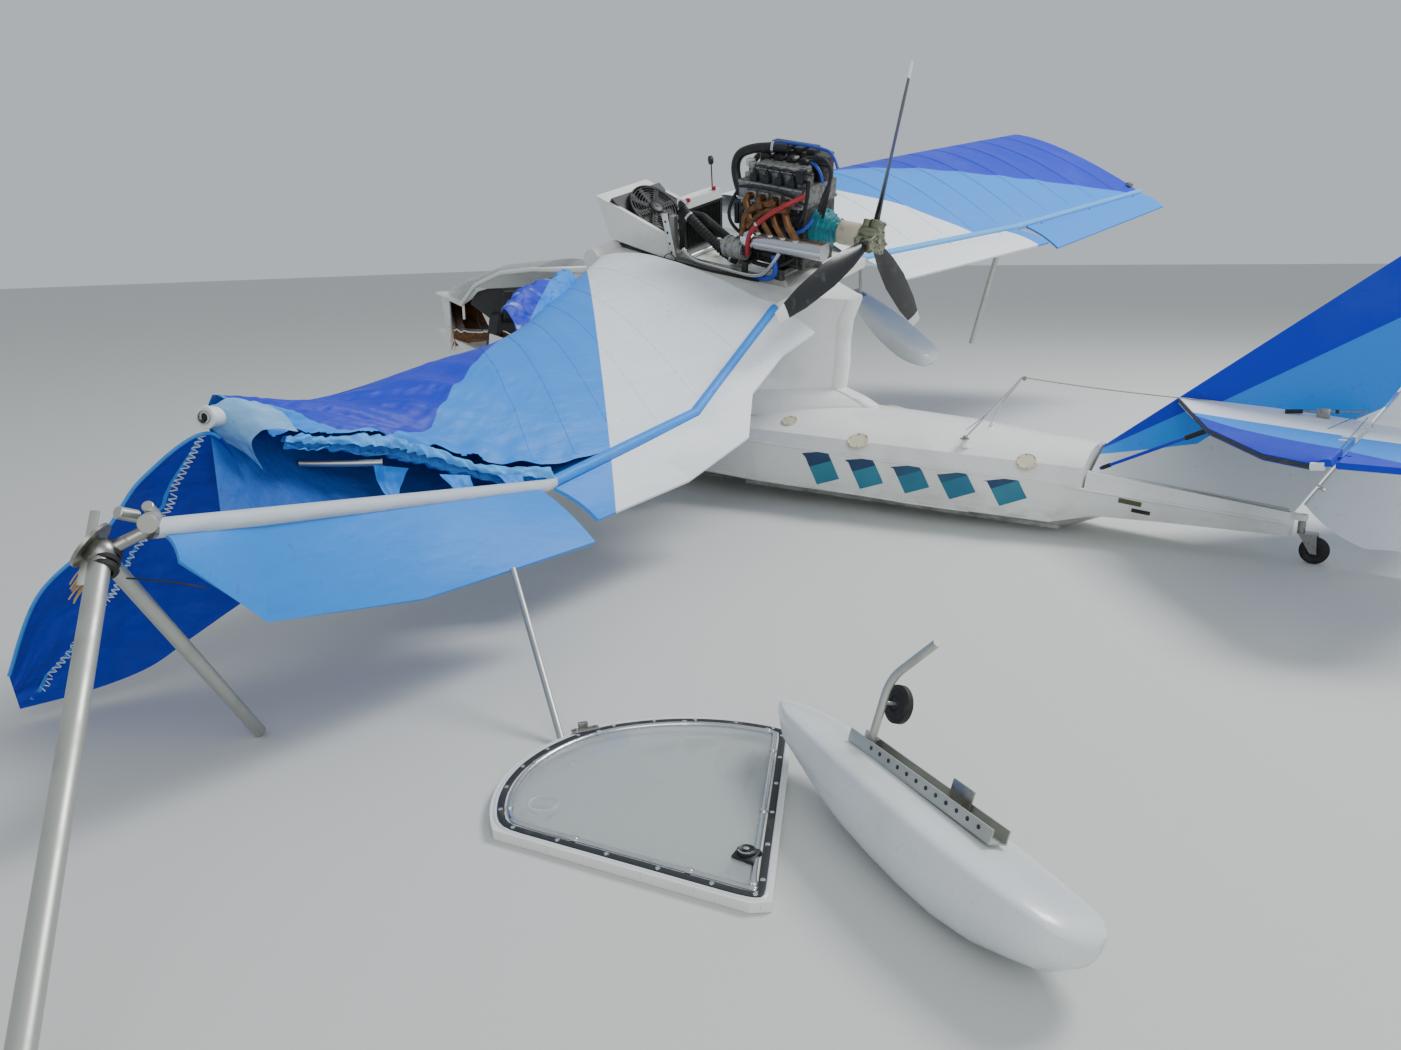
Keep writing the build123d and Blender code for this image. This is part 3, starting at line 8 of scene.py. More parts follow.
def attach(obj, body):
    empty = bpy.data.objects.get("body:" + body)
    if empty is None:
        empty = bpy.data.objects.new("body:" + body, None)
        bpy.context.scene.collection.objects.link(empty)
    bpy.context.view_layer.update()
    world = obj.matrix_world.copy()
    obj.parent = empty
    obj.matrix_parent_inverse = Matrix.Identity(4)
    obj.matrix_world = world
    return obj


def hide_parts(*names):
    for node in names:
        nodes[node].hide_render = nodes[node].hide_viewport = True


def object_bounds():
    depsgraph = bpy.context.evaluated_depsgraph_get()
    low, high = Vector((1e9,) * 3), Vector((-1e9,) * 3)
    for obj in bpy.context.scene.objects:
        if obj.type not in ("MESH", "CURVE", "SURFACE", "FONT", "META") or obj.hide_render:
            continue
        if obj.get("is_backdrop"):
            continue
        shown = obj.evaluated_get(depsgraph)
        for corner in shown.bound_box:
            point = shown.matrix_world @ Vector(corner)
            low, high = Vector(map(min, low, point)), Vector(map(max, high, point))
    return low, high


# Looks of a two-seat amphibious microlight that lies as it came to rest after a heavy landing.
# Frame: +X towards the nose, +Y to port, +Z up, in metres; origin on the keel where it meets the ground.

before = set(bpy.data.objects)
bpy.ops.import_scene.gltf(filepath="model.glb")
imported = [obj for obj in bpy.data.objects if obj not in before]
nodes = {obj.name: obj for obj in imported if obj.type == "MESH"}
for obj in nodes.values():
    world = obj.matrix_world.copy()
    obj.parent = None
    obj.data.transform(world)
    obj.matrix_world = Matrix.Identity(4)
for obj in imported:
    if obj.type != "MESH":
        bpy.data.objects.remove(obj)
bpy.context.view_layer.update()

up = Vector((0, 0, 1))
port = Vector((0, 1, 0))
forward = Vector((1, 0, 0))

# Camera: stands behind the port wing at eye height and looks forward across the wreck
eye = Vector((-2.273, 5.348, 1.45))
view_turn = radians(38.5)       # from the port side towards the nose
view_dip = radians(14.78)
view_roll = radians(-1.05)
focal_share = 1054 / 1401       # focal length over the picture's width
sensor_width = 36

look = Vector((sin(view_turn) * cos(view_dip), -cos(view_turn) * cos(view_dip), -sin(view_dip)))
level_right = look.cross(up).normalized()
level_up = level_right.cross(look)
right = level_right * cos(view_roll) + level_up * sin(view_roll)
top = level_up * cos(view_roll) - level_right * sin(view_roll)
lens = bpy.data.cameras.new("camera")
lens.sensor_width = sensor_width
lens.lens = sensor_width * focal_share
lens.clip_end = 200
camera = bpy.data.objects.new("camera", lens)
camera.matrix_world = Matrix.Translation(eye) @ Matrix((right, top, -look)).transposed().to_4x4()
bpy.context.scene.collection.objects.link(camera)
bpy.context.scene.camera = camera


# Materials

def tone(code):
    """Linear colour of an sRGB hex code."""
    parts = [int(code[i:i + 2], 16) / 255 for i in (0, 2, 4)]
    return [p / 12.92 if p < 0.04045 else ((p + 0.055) / 1.055) ** 2.4 for p in parts] + [1]


def add(tree, kind, sockets=None, **settings):
    """Add a node with its settings, its values and its links."""
    made = tree.nodes.new(kind)
    for name, value in settings.items():
        setattr(made, name, value)
    for name, value in (sockets or {}).items():
        if isinstance(value, bpy.types.NodeSocket):
            tree.links.new(value, made.inputs[name])
        else:
            made.inputs[name].default_value = value
    return made


class Finish:
    """A surface under construction: its material, tree, shader, place and the colour reached so far."""

    def __init__(self, name, base, rough, metal=0.0, **values):
        self.material = bpy.data.materials.new(name)
        self.material.use_nodes = True
        self.tree = self.material.node_tree
        self.shader = self.tree.nodes["Principled BSDF"]
        self.shader.inputs["Metallic"].default_value = metal
        self.shader.inputs["Roughness"].default_value = rough
        self.shader.inputs["Base Color"].default_value = tone(base)
        for socket, value in values.items():
            self.shader.inputs[socket.replace("_", " ")].default_value = value
        self.place = add(self.tree, "ShaderNodeTexCoord").outputs["Object"]
        self.colour = tone(base)
        self.height = None

    def paint(self, code, mask):
        """Lay a colour over the present one where the mask is 1."""
        mix = add(self.tree, "ShaderNodeMix", {0: mask, 6: self.colour, 7: tone(code)}, data_type="RGBA")
        self.colour = mix.outputs[2]
        self.tree.links.new(self.colour, self.shader.inputs["Base Color"])
        return self

    def past(self, normal, point, soft=0.001):
        """Mask that is 1 on the side of a plane through a point that its normal points to."""
        direction = Vector(normal).normalized()
        reach = add(self.tree, "ShaderNodeVectorMath", {0: self.place, 1: direction}, operation="DOT_PRODUCT")
        edge = direction.dot(Vector(point))
        step = add(self.tree, "ShaderNodeMapRange",
                   {"Value": reach.outputs["Value"], "From Min": edge - soft, "From Max": edge + soft})
        return step.outputs[0]

    def both(self, first, second):
        """Mask where two masks meet, or one mask at a lesser strength."""
        return add(self.tree, "ShaderNodeMath", {0: first, 1: second}, operation="MULTIPLY").outputs[0]

    def patches(self, size, low, high, stretch=(1, 1, 1), detail=4):
        """Mask of soft patches about a size in metres across; low and high set how much they cover."""
        place = add(self.tree, "ShaderNodeMapping", {"Vector": self.place, "Scale": stretch})
        spread = add(self.tree, "ShaderNodeTexNoise",
                     {"Vector": place.outputs[0], "Scale": 1 / size, "Detail": detail})
        cut = add(self.tree, "ShaderNodeMapRange",
                  {"Value": spread.outputs[0], "From Min": low, "From Max": high})
        return cut.outputs[0]

    def relief(self, height, depth):
        """Add a bump of a depth in metres from a height pattern."""
        sockets = {"Height": height, "Distance": depth, "Strength": 1.0}
        if self.height is not None:
            sockets["Normal"] = self.height
        self.height = add(self.tree, "ShaderNodeBump", sockets).outputs[0]
        self.tree.links.new(self.height, self.shader.inputs["Normal"])
        return self

    def gloss(self, mask, low, high):
        """Let the roughness run from low to high with a mask."""
        run = add(self.tree, "ShaderNodeMapRange", {"Value": mask, "To Min": low, "To Max": high})
        self.tree.links.new(run.outputs[0], self.shader.inputs["Roughness"])
        return self


def weathered(name, base, rough, metal=0.0, stain="6B6A5C", stain_size=0.08, cover=(0.56, 0.75),
              grain=0.0015, grain_depth=0.0001, **values):
    """Solid material with patchy stains and a fine grain."""
    made = Finish(name, base, rough, metal, **values)
    marks = made.patches(stain_size, *cover)
    made.paint(stain, made.both(marks, 0.45))
    made.gloss(marks, rough, min(1.0, rough + 0.2))
    made.relief(made.patches(grain, 0.3, 0.7), grain_depth)
    return made


def gelcoat(name, base="E9EAE6", mud=0.0):
    """Glass fibre under white gelcoat: glossy, faintly wavy, finely scratched, muddy and grassy low down."""
    made = Finish(name, base, 0.24, Coat_Weight=0.4, Coat_Roughness=0.12)
    made.paint("B9BBAF", made.both(made.patches(0.35, 0.5, 0.8), 0.6))
    if mud:
        low = made.past((0, 0, -1), (0, 0, 0.10), 0.10)
        made.paint("747A5C", made.both(made.both(low, made.patches(0.09, 0.42, 0.72, (1, 1, 2.5))), mud))
    made.paint("8B7F66", made.both(made.patches(0.012, 0.64, 0.72, (3, 3, 0.4)), 0.35))
    made.relief(made.patches(0.25, 0.2, 0.8, detail=1), 0.0016)
    made.relief(made.patches(0.004, 0.35, 0.65, (1, 8, 8)), 0.00005)
    return made


def sailcloth(name, base, bands=(), crease=0.0012):
    """Polyester sailcloth: slight sheen, soft creases and a weave drawn coarse, about 2 mm, to show."""
    made = Finish(name, base, 0.48, Sheen_Weight=0.03, Sheen_Roughness=0.4, Specular_IOR_Level=0.28)
    for code, *lines in bands:
        mask = made.past(*lines[:2])
        for normal, point in zip(lines[2::2], lines[3::2]):
            mask = made.both(mask, made.past(normal, point))
        made.paint(code, mask)
    made.paint("BFC9CF", made.both(made.patches(0.5, 0.52, 0.8), 0.06))
    made.paint("5E5A48", made.both(made.patches(0.03, 0.66, 0.74), 0.25))
    made.relief(made.patches(0.16, 0.35, 0.65, (1.0, 0.35, 1.0), 2), crease * 3)
    made.relief(made.patches(0.045, 0.3, 0.7, (1.6, 0.5, 1.0), 2), crease)
    weave = add(made.tree, "ShaderNodeTexWave", {"Vector": made.place, "Scale": 1 / 0.0065},
                wave_type="BANDS", bands_direction="DIAGONAL")
    made.relief(weave.outputs[1], 0.00008)
    return made


white, light_blue, dark_blue = "E2E8EC", "2388E6", "0F2FBE"


def lined(made):
    """Paint the sides that face the cabin's middle as raw laminate: brown resin over a coarse mat."""
    sides = add(made.tree, "ShaderNodeNewGeometry")
    product = add(made.tree, "ShaderNodeVectorMath", {0: sides.outputs["Normal"], 1: made.place},
                  operation="MULTIPLY")
    inner = add(made.tree, "ShaderNodeSeparateXYZ", {0: product.outputs[0]})
    facing = add(made.tree, "ShaderNodeMapRange", {"Value": inner.outputs[1], "From Min": -0.02,
                                                   "From Max": -0.03})
    bare = made.both(facing.outputs[0], made.past((1, 0, 0), (3.36, 0, 0)))
    made.paint("5A3A1C", bare)
    made.paint("2E1D10", made.both(bare, made.patches(0.06, 0.5, 0.7)))
    return made


# Woven sleeves over the wings; a band starts past a plane, given by its normal and a point
port_band = light_blue, (0.69, 0.72, 0), (1.60, 1.33, 0)
port_cloth = sailcloth("sailcloth port wing", white, [
    port_band,
    (dark_blue, (0.848, 0.530, 0), (1.70, 1.80, 0), (0.99, 0.11, 0), (1.06, 2.85, 0)),
], crease=0.0016)
star_cloth = sailcloth("sailcloth starboard wing", white, [
    (light_blue, (0.720, -0.694, 0), (1.405, -1.59, 0)),
    (dark_blue, (0.900, -0.436, 0), (1.38, -3.07, 0)),
])
flap_cloth = sailcloth("sailcloth flap", white, [port_band])
aileron_cloth = sailcloth("sailcloth aileron", light_blue)
tip_cloth = sailcloth("sailcloth wing tip", "1233B0", crease=0.003)
lining_cloth = sailcloth("sailcloth inside", "1E5FB4", crease=0.003)
spar_sleeve = sailcloth("sailcloth spar sleeve", "BFC8CF", [(light_blue, (0, -1, 0), (0, 2.5, 0))],
                        crease=0.002)
star_sleeve = sailcloth("sailcloth hinge sleeve", "5AA6E6", crease=0.001)
star_flap_cloth = sailcloth("sailcloth starboard flap", white, [(light_blue, (0.0, -1, 0), (0.9, -2.35, 0))])

fin_cloth = sailcloth("sailcloth fin", white, [
    (light_blue, (0.525, 0, 0.851), (-1.835, 0, 0.765)),
    (dark_blue, (0.525, 0, 0.851), (-1.129, 0, 0.702)),
], crease=0.0005)
stab_bands = (light_blue, 0.337, 0.942, -1.188, 0.28), (dark_blue, 0.619, 0.785, -1.019, 0.222)
stab_cloth = sailcloth("sailcloth stabiliser", white,
                       [(code, (x, side * y, 0), (at_x, side * at_y, 0))
                        for code, x, y, at_x, at_y in stab_bands for side in (1, -1)], crease=0.0008)
# The fairing's cloth is white; its base is painted grey here as painted shade, with the light-blue and
# dark-blue bands over it
fairing_cloth = sailcloth("sailcloth fairing", "C9CFD0", [
    (light_blue, (0.206, 0, 0.979), (-0.647, 0, 0.423), (0.65, 0, 0.76), (-1.17, 0, 0.60)),
    (dark_blue, (0.502, 0, 0.865), (-0.646, 0, 0.453)),
], crease=0.0008)
rudder_cloth = sailcloth("sailcloth rudder", white, crease=0.0008)

hull_skin = lined(gelcoat("gelcoat hull", mud=0.7))
deck_skin = gelcoat("gelcoat deck", "ECEDEA")
cabin_skin = lined(gelcoat("gelcoat cabin", "E4E5E0"))
float_skin = gelcoat("gelcoat float", "D9DEE0")

# Bare aluminium tube, drawn and dull, with lengthwise scratches and grass juice
alloy_tube = weathered("drawn aluminium", "B9BBB4", 0.42, 0.85, "8A8C80", 0.12, (0.5, 0.8), 0.002, 0.00004)
white_tube = weathered("powder-coated tube", "DDE2E4", 0.38, 0.0, "8E8F84", 0.06)
steel = weathered("plated steel", "9C9B96", 0.32, 1.0, "5B4A38", 0.015, (0.55, 0.7))
chrome = weathered("polished steel", "D4D6D8", 0.16, 1.0, "8A8880", 0.04, (0.6, 0.8))
cast_dark = weathered("cast alloy, oily", "565552", 0.42, 0.8, "1B1914", 0.03, (0.44, 0.62), 0.0012, 0.0003)
cast_head = weathered("cast alloy, grey", "8B8C89", 0.38, 0.85, "2A2822", 0.025, (0.46, 0.62), 0.0012, 0.0003)
cast_light = weathered("cast alloy", "A3A49F", 0.42, 0.85, "3C362A", 0.03, (0.5, 0.66), 0.0012, 0.0002)
black_plastic = weathered("black moulded plastic", "17181A", 0.45, 0.0, "4B4A45", 0.06)
rubber = weathered("black rubber", "151516", 0.62, 0.0, "53504A", 0.04)
header_steel = weathered("heat-tinted steel", "7D5A3C", 0.38, 0.9, "3A2B27", 0.03, (0.4, 0.62))
gear_paint = weathered("teal enamel", "2F8C98", 0.3, 0.15, "1D4347", 0.025, (0.52, 0.66), Coat_Weight=0.3)
olive_alloy = weathered("chromated aluminium", "8D8F78", 0.34, 0.9, "4E4D3A", 0.02)
red_rubber = weathered("red silicone hose", "A3202A", 0.42, 0.0, "4E1114", 0.02)
blue_rubber = weathered("blue hose", "2348B8", 0.4, 0.0, "152A62", 0.02)
beige_plate = weathered("primed sheet", "C9C2A8", 0.5, 0.0, "6B6350", 0.04)
seat_cloth = weathered("grey seat cloth", "5F6670", 0.85, 0.0, "3C4046", 0.03, (0.45, 0.6), 0.0018, 0.0004)
laminate = weathered("torn laminate", "6B4522", 0.75, 0.0, "2B1A0B", 0.02, (0.42, 0.58), 0.003, 0.0012)
fibre = weathered("glass fibre strands", "A9905C", 0.6, 0.0, "7D5A26", 0.01)
navy_film = weathered("navy film", "16355E", 0.35, 0.0, "2C6E8A", 0.3, (0.4, 0.7))
teal_film = weathered("teal film", "2D7E96", 0.35, 0.0, "1B4E74", 0.3, (0.4, 0.7))
# Dark trim for the door seal and the label; the same dark also stands as painted shade in the holes of the
# bracket and the float channel
dark_trim_and_hole_shade = weathered("dark trim and hole shade", "1F2226", 0.5)
olive_plate = weathered("olive plate", "5B5A44", 0.45, 0.3)
tape_white = weathered("white tape", "DCE3E8", 0.45, 0.0, "9FA3A1", 0.05)
tape_blue = weathered("blue tape", "2F86DA", 0.45, 0.0, "2A5C99", 0.05)
tape_dark = weathered("dark tape", "16222E", 0.5)
tyre_rubber = weathered("tyre", "1A1A1A", 0.7, 0.0, "5A4F3E", 0.03)
wheel_white = weathered("nylon wheel", "D9D9D3", 0.4, 0.0, "6E6A5C", 0.03)

blade_hub = Vector((0.669, 0.100, 1.478))

# Power unit's frame: s forward along the shaft from the propeller hub, t to port, h up
thrust_pitch = radians(11)
engine_lean = radians(14)
shaft = Vector((cos(thrust_pitch), 0, sin(thrust_pitch)))
upright = Vector((-sin(thrust_pitch), 0, cos(thrust_pitch)))
lift = upright * cos(engine_lean) + port * sin(engine_lean)
abeam = port * cos(engine_lean) - upright * sin(engine_lean)


def at(s, t, h):
    """Point in the power unit's frame."""
    return blade_hub + shaft * s + abeam * t + lift * h


# Composite blades: black gelcoat with white tips
blades = weathered("composite blade", "17181A", 0.3, 0.0, "5B5C5A", 0.08, (0.58, 0.75))
span = add(blades.tree, "ShaderNodeVectorMath", {0: blades.place, 1: blade_hub}, operation="DISTANCE")
tip_zone = add(blades.tree, "ShaderNodeMapRange",
               {"Value": span.outputs["Value"], "From Min": 0.818, "From Max": 0.820})
blades.paint("D8DAD6", tip_zone.outputs[0])

# Exhaust: headers tinted by heat down to the bright can and its pipes
headers = weathered("exhaust steel", "7D5A3C", 0.38, 0.9, "3A2B27", 0.03, (0.42, 0.7))
below = headers.past(-lift, at(0, 0, -0.006), 0.004)
headers.paint("C4C7C8", below)
headers.gloss(below, 0.38, 0.16)

# Coolers under one header tank: black core, white tank
cooler_body = weathered("cooler", "17181A", 0.45, 0.0, "4B4A45", 0.06)
cooler_body.paint("DADBD7", cooler_body.past(lift, at(0, 0, -0.003)))

# Radiator core: fine fins across flat tubes, 4 mm apart
core = weathered("radiator core", "2B2C2C", 0.45, 0.6, "6E6A60", 0.03)
fins = add(core.tree, "ShaderNodeTexWave", {"Vector": core.place, "Scale": 1 / 0.013}, bands_direction="Y")
core.relief(fins.outputs[1], 0.0015)


def glass(name, base, rough, cover, bead_size):
    """Clear acrylic sheet with rain beads: thin, so light passes straight through all but a share of it."""
    made = Finish(name, base, rough, IOR=1.49, Alpha=cover, Specular_IOR_Level=0.8)
    bead = add(made.tree, "ShaderNodeTexVoronoi", {"Vector": made.place, "Scale": 1 / bead_size})
    drop = add(made.tree, "ShaderNodeMapRange",
               {"Value": bead.outputs[0], "From Min": 0.28, "From Max": 0.0})
    made.relief(drop.outputs[0], 0.0016)
    return made


clear_pane = glass("acrylic pane", "BCC4C4", 0.05, 0.36, 0.016)
screen_pane = glass("weathered acrylic", "AEB5B6", 0.14, 0.42, 0.05)
frosted_pane = glass("frosted acrylic ring", "E6ECEC", 0.3, 0.85, 0.05)

# Finish of each node that is shown as it is
for made, names in (
    (hull_skin, "hull_shell"),
    (deck_skin, "aft_deck_pylon radiator_cowl"),
    (cabin_skin, "cabin_sides bow_wall cabin_roof canopy_frame starboard_door wing_centre door_frame"),
    (screen_pane, "windscreen"),
    (steel, "door_hangers strut_bracket tail_fork"),
    (clear_pane, "starboard_pane"),
    (black_plastic, "instrument_panel radiator_core cooling_fan"),
    (alloy_tube, "port_front_spar port_struts starboard_strut float_channel gear_legs engine_mount"),
    (spar_sleeve, "port_rear_spar"),
    (flap_cloth, "port_flap"),
    (aileron_cloth, "port_aileron starboard_aileron"),
    (star_sleeve, "starboard_rear_spar"),
    (star_flap_cloth, "starboard_flap"),
    (tyre_rubber, "float_wheel tail_wheel main_wheel_port main_wheel_starboard"),
    (fin_cloth, "fin"),
    (fairing_cloth, "fin_fairing"),
    (rudder_cloth, "rudder"),
    (stab_cloth, "stabilisers elevator_port elevator_starboard"),
    (chrome, "deck_mast"),
    (cast_dark, "engine_block intake_manifold"),
    (cast_head, "cylinder_head"),
    (headers, "exhaust_manifold"),
    (gear_paint, "gearbox"),
    (cast_light, "alternator"),
    (cooler_body, "oil_cooler"),
    (rubber, "coolant_hose"),
    (olive_alloy, "propeller_hub"),
    (blades, "propeller_blades"),
):
    for name in names.split():
        nodes[name].data.materials.clear()
        nodes[name].data.materials.append(made.material)


# Modelling helpers

def piece(name, mesh, made, body="airframe", sharp=radians(38), recalc=True):
    """Turn a finished bmesh into a named piece of one material that moves with a body."""
    if recalc:
        bmesh.ops.remove_doubles(mesh, verts=mesh.verts, dist=1e-6)
        bmesh.ops.recalc_face_normals(mesh, faces=mesh.faces)
    for face in mesh.faces:
        face.smooth = True
    for edge in mesh.edges:
        edge.smooth = edge.calc_face_angle(pi) < sharp
    data = bpy.data.meshes.new(name)
    mesh.to_mesh(data)
    mesh.free()
    data.materials.append(made.material)
    shown = bpy.data.objects.new(name, data)
    bpy.context.scene.collection.objects.link(shown)
    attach(shown, body)
    return shown


def turned(mesh, start, axis, outline, steps=28):
    """Spin an outline of (reach along the axis, radius) pairs round an axis from start."""
    start, axis = Vector(start), Vector(axis).normalized()
    side = axis.orthogonal().normalized()
    ring = [mesh.verts.new(start + axis * reach + side * radius) for reach, radius in outline]
    lines = [mesh.edges.new(pair) for pair in zip(ring[:-1], ring[1:])]
    bmesh.ops.spin(mesh, geom=ring + lines, cent=start, axis=axis, angle=2 * pi, steps=steps, use_merge=True)


def block(mesh, centre, along, upward, size, round_off=0.002):
    """Bevelled box about a centre, size given along, across and up."""
    along = Vector(along).normalized()
    across = Vector(upward).cross(along).normalized()
    upward = along.cross(across)
    turn = Matrix((along, across, upward)).transposed().to_4x4()
    grown = bmesh.ops.create_cube(mesh, size=1,
                                  matrix=Matrix.Translation(centre) @ turn @ Matrix.Diagonal((*size, 1)))
    edges = list({edge for vert in grown["verts"] for edge in vert.link_edges})
    if round_off:
        bmesh.ops.bevel(mesh, geom=edges, offset=round_off, segments=2, profile=0.5, affect="EDGES",
                        material=-1)


def crate(mesh, station, size, round_off=0.002):
    """Bevelled box square to the power unit, about a place in its frame."""
    block(mesh, at(*station), shaft, lift, size, round_off)


def solid(*steps):
    """Outline of a full round part: out from the axis, along its steps and back to the axis."""
    return [(steps[0][0], 0), *steps, (steps[-1][0], 0)]


def collar(start, end, inner, outer):
    """Outline of a ring between two reaches along the axis and two radii."""
    return [(start, inner), (start, outer), (end, outer), (end, inner)]


def vectors(*points):
    """Points as vectors."""
    return [Vector(point) for point in points]


def pipe(mesh, points, radius, sides=3):
    """Smooth round hose, wire or rod that follows its control points."""
    line = bpy.data.curves.new("route", "CURVE")
    line.dimensions = "3D"
    line.resolution_u = 6
    line.bevel_depth = radius
    line.bevel_resolution = sides
    line.use_fill_caps = True
    spline = line.splines.new("NURBS")
    spline.points.add(len(points) - 1)
    for spot, point in zip(spline.points, points):
        spot.co = (*point, 1)
    spline.order_u = 3
    spline.use_endpoint_u = True
    holder = bpy.data.objects.new("route", line)
    bpy.context.scene.collection.objects.link(holder)
    drawn = bpy.data.meshes.new_from_object(holder)
    mesh.from_mesh(drawn)
    bpy.data.objects.remove(holder)
    bpy.data.meshes.remove(drawn)
    bpy.data.curves.remove(line)


def hose(mesh, stations, radius, sides=3):
    """Hose through places in the power unit's frame."""
    pipe(mesh, [at(*station) for station in stations], radius, sides)


def on_skin(skin, point, facing=None):
    """Nearest place on a node's surface or a search tree, and its normal, turned to a side if given."""
    if isinstance(skin, BVHTree):
        place, normal, _, _ = skin.find_nearest(point)
    else:
        _, place, normal, _ = nodes[skin].closest_point_on_mesh(point)
    return place, -normal if facing and normal.dot(facing) < 0 else normal


strip_step = 0.04       # least distance between the rows of a strip


def ribbon(mesh, rows):
    """Faces between neighbouring pairs of vertices."""
    for a, b in zip(rows[:-1], rows[1:]):
        mesh.faces.new((a[0], b[0], b[1], a[1]))


def strip(mesh, skin, path, width, gap=0.0012, facing=None):
    """Thin band laid on a surface along a path of points."""
    path, steps = vectors(*path), []
    for start, end in zip(path[:-1], path[1:]):
        count = max(1, int((end - start).length / strip_step))
        steps += [start.lerp(end, i / count) for i in range(count)]
    steps.append(path[-1])
    rows = []
    for i, point in enumerate(steps):
        run = (steps[min(i + 1, len(steps) - 1)] - steps[max(i - 1, 0)]).normalized()
        place, normal = on_skin(skin, point, facing)
        side = normal.cross(run).normalized() * width / 2
        rows.append([mesh.verts.new(near + over * gap) for near, over in
                     (on_skin(skin, place - side, facing), on_skin(skin, place + side, facing))])
    ribbon(mesh, rows)


def thicken(shown, thick):
    """Give a piece's faces a thickness, half to each side."""
    wall = shown.modifiers.new("thickness", "SOLIDIFY")
    wall.thickness = thick
    wall.offset = 0


def patch(name, mesh, made, thick):
    """Finish thin laid bands as a piece with a little thickness."""
    thicken(piece(name, mesh, made, recalc=False), thick)


def cloth(name, place, across, along, made, thick=0.0012, torn=None, closed=False):
    """Sheet and its area: place(u, v) gives the point; torn(u, v) is true where cloth is missing."""
    mesh = bmesh.new()
    layer = mesh.loops.layers.uv.new("UVMap")
    bmesh.ops.create_grid(mesh, x_segments=across, y_segments=along, size=0.5, calc_uvs=False)
    shares = {vert: (vert.co.x + 0.5, vert.co.y + 0.5) for vert in mesh.verts}
    for face in mesh.faces:
        for loop in face.loops:
            loop[layer].uv = shares[loop.vert]
    if torn:
        gone = [face for face in mesh.faces
                if torn(*[sum(shares[vert][i] for vert in face.verts) / len(face.verts) for i in (0, 1)])]
        bmesh.ops.delete(mesh, geom=gone, context="FACES")
    for vert in mesh.verts:
        vert.co = place(*shares[vert])
    area = sum(face.calc_area() for face in mesh.faces)
    shown = piece(name, mesh, made, recalc=closed)
    thicken(shown, thick)
    return shown, area


def surface(shown):
    """Search tree of a piece's faces."""
    return BVHTree.FromPolygons([v.co for v in shown.data.vertices], [p.vertices
                                                                      for p in shown.data.polygons])


def along_rows(rows, share):
    """Row of named sizes at a share between the first and the last, on a smooth line through them."""
    reach = share * (len(rows) - 1)
    i = min(int(reach), len(rows) - 2)
    t = reach - i
    before, after = rows[max(i - 1, 0)], rows[min(i + 2, len(rows) - 1)]
    found = []
    for a, b, c, d in zip(before, rows[i], rows[i + 1], after):
        found.append(0.5 * (2 * b + (c - a) * t + (2 * a - 5 * b + 4 * c - d) * t * t
                            + (3 * b - a - 3 * c + d) * t * t * t))
    return found


def on_line(line, share):
    """Point at a share of the way along a row of points."""
    reach = share * (len(line) - 1)
    i = min(int(reach), len(line) - 2)
    return line[i].lerp(line[i + 1], reach - i)


def sided(points, side):
    """Points given on the port side, taken to a side: 1 port, -1 starboard."""
    return [Vector((x, side * y, z)) for x, y, z in points]


def traced(skin, marks, steps):
    """Points on a surface nearest to a row of marks, with steps between each two."""
    fine = [a.lerp(b, k / steps) for a, b in zip(marks[:-1], marks[1:]) for k in range(steps)] + marks[-1:]
    return [on_skin(skin, point)[0] for point in fine]


def ripple(point, size, seed=0.0):
    """Soft random height between about -1 and 1 that varies over a size in metres."""
    return noise.noise(point / size + Vector((seed, seed * 1.7, seed * 0.3)))


# Wings: cloth over ribs. Rows of sizes run from root to tip

side_share, nose_share = 0.46, 0.08     # of a section's outline: its top or its bottom, and its nose
lower_start = 0.54                      # share where the bottom starts
rear_gap = 0.006                        # half the height of a section's rear edge
arch_skew = 0.72                        # below 1 the highest place lies ahead of mid chord


def rise_from(run):
    """Direction square to a chord that points up."""
    run = run.normalized()
    return (up - run * up.dot(run)).normalized()


def wing_section(lead, trail, arch, nose, w):
    """Point of a wing section at a share w round it: upper rear edge, nose, lower rear edge."""
    run = trail - lead
    chord = run.length
    rise = rise_from(run)
    run.normalize()
    bend = nose / chord * 0.6
    if w < side_share:
        back = 1 - w / side_share
        arched = arch * 0.93 * sin(pi * min(1, back) ** arch_skew)
        height = nose * (1 - back) ** 0.5 + arched + rear_gap * back
        return lead + run * (chord * (bend + back * (1 - bend))) + rise * height
    if w > lower_start:
        back = (w - lower_start) / side_share
        return lead + run * (chord * (bend + back * (1 - bend))) - rise * (nose * (1 - back) + rear_gap)
    turn = pi * (w - side_share) / nose_share
    return lead + run * (nose * (1 - sin(turn)) * 0.9) + rise * (nose * cos(turn))


star_rows = [    # lead x y z, trail x y z, arch
    (2.250, -0.450, 1.750, 1.128, -0.450, 1.365, 0.093),
    (2.155, -1.525, 1.925, 1.055, -1.525, 1.463, 0.093),
    (2.055, -2.600, 2.095, 0.981, -2.600, 1.566, 0.093),
    (1.930, -3.510, 2.233, 0.845, -3.600, 1.712, 0.077),
    (1.802, -4.415, 2.367, 0.706, -4.597, 1.858, 0.060),
]
star_ribs = 11
star_nose = 0.03        # radius of the leading edge


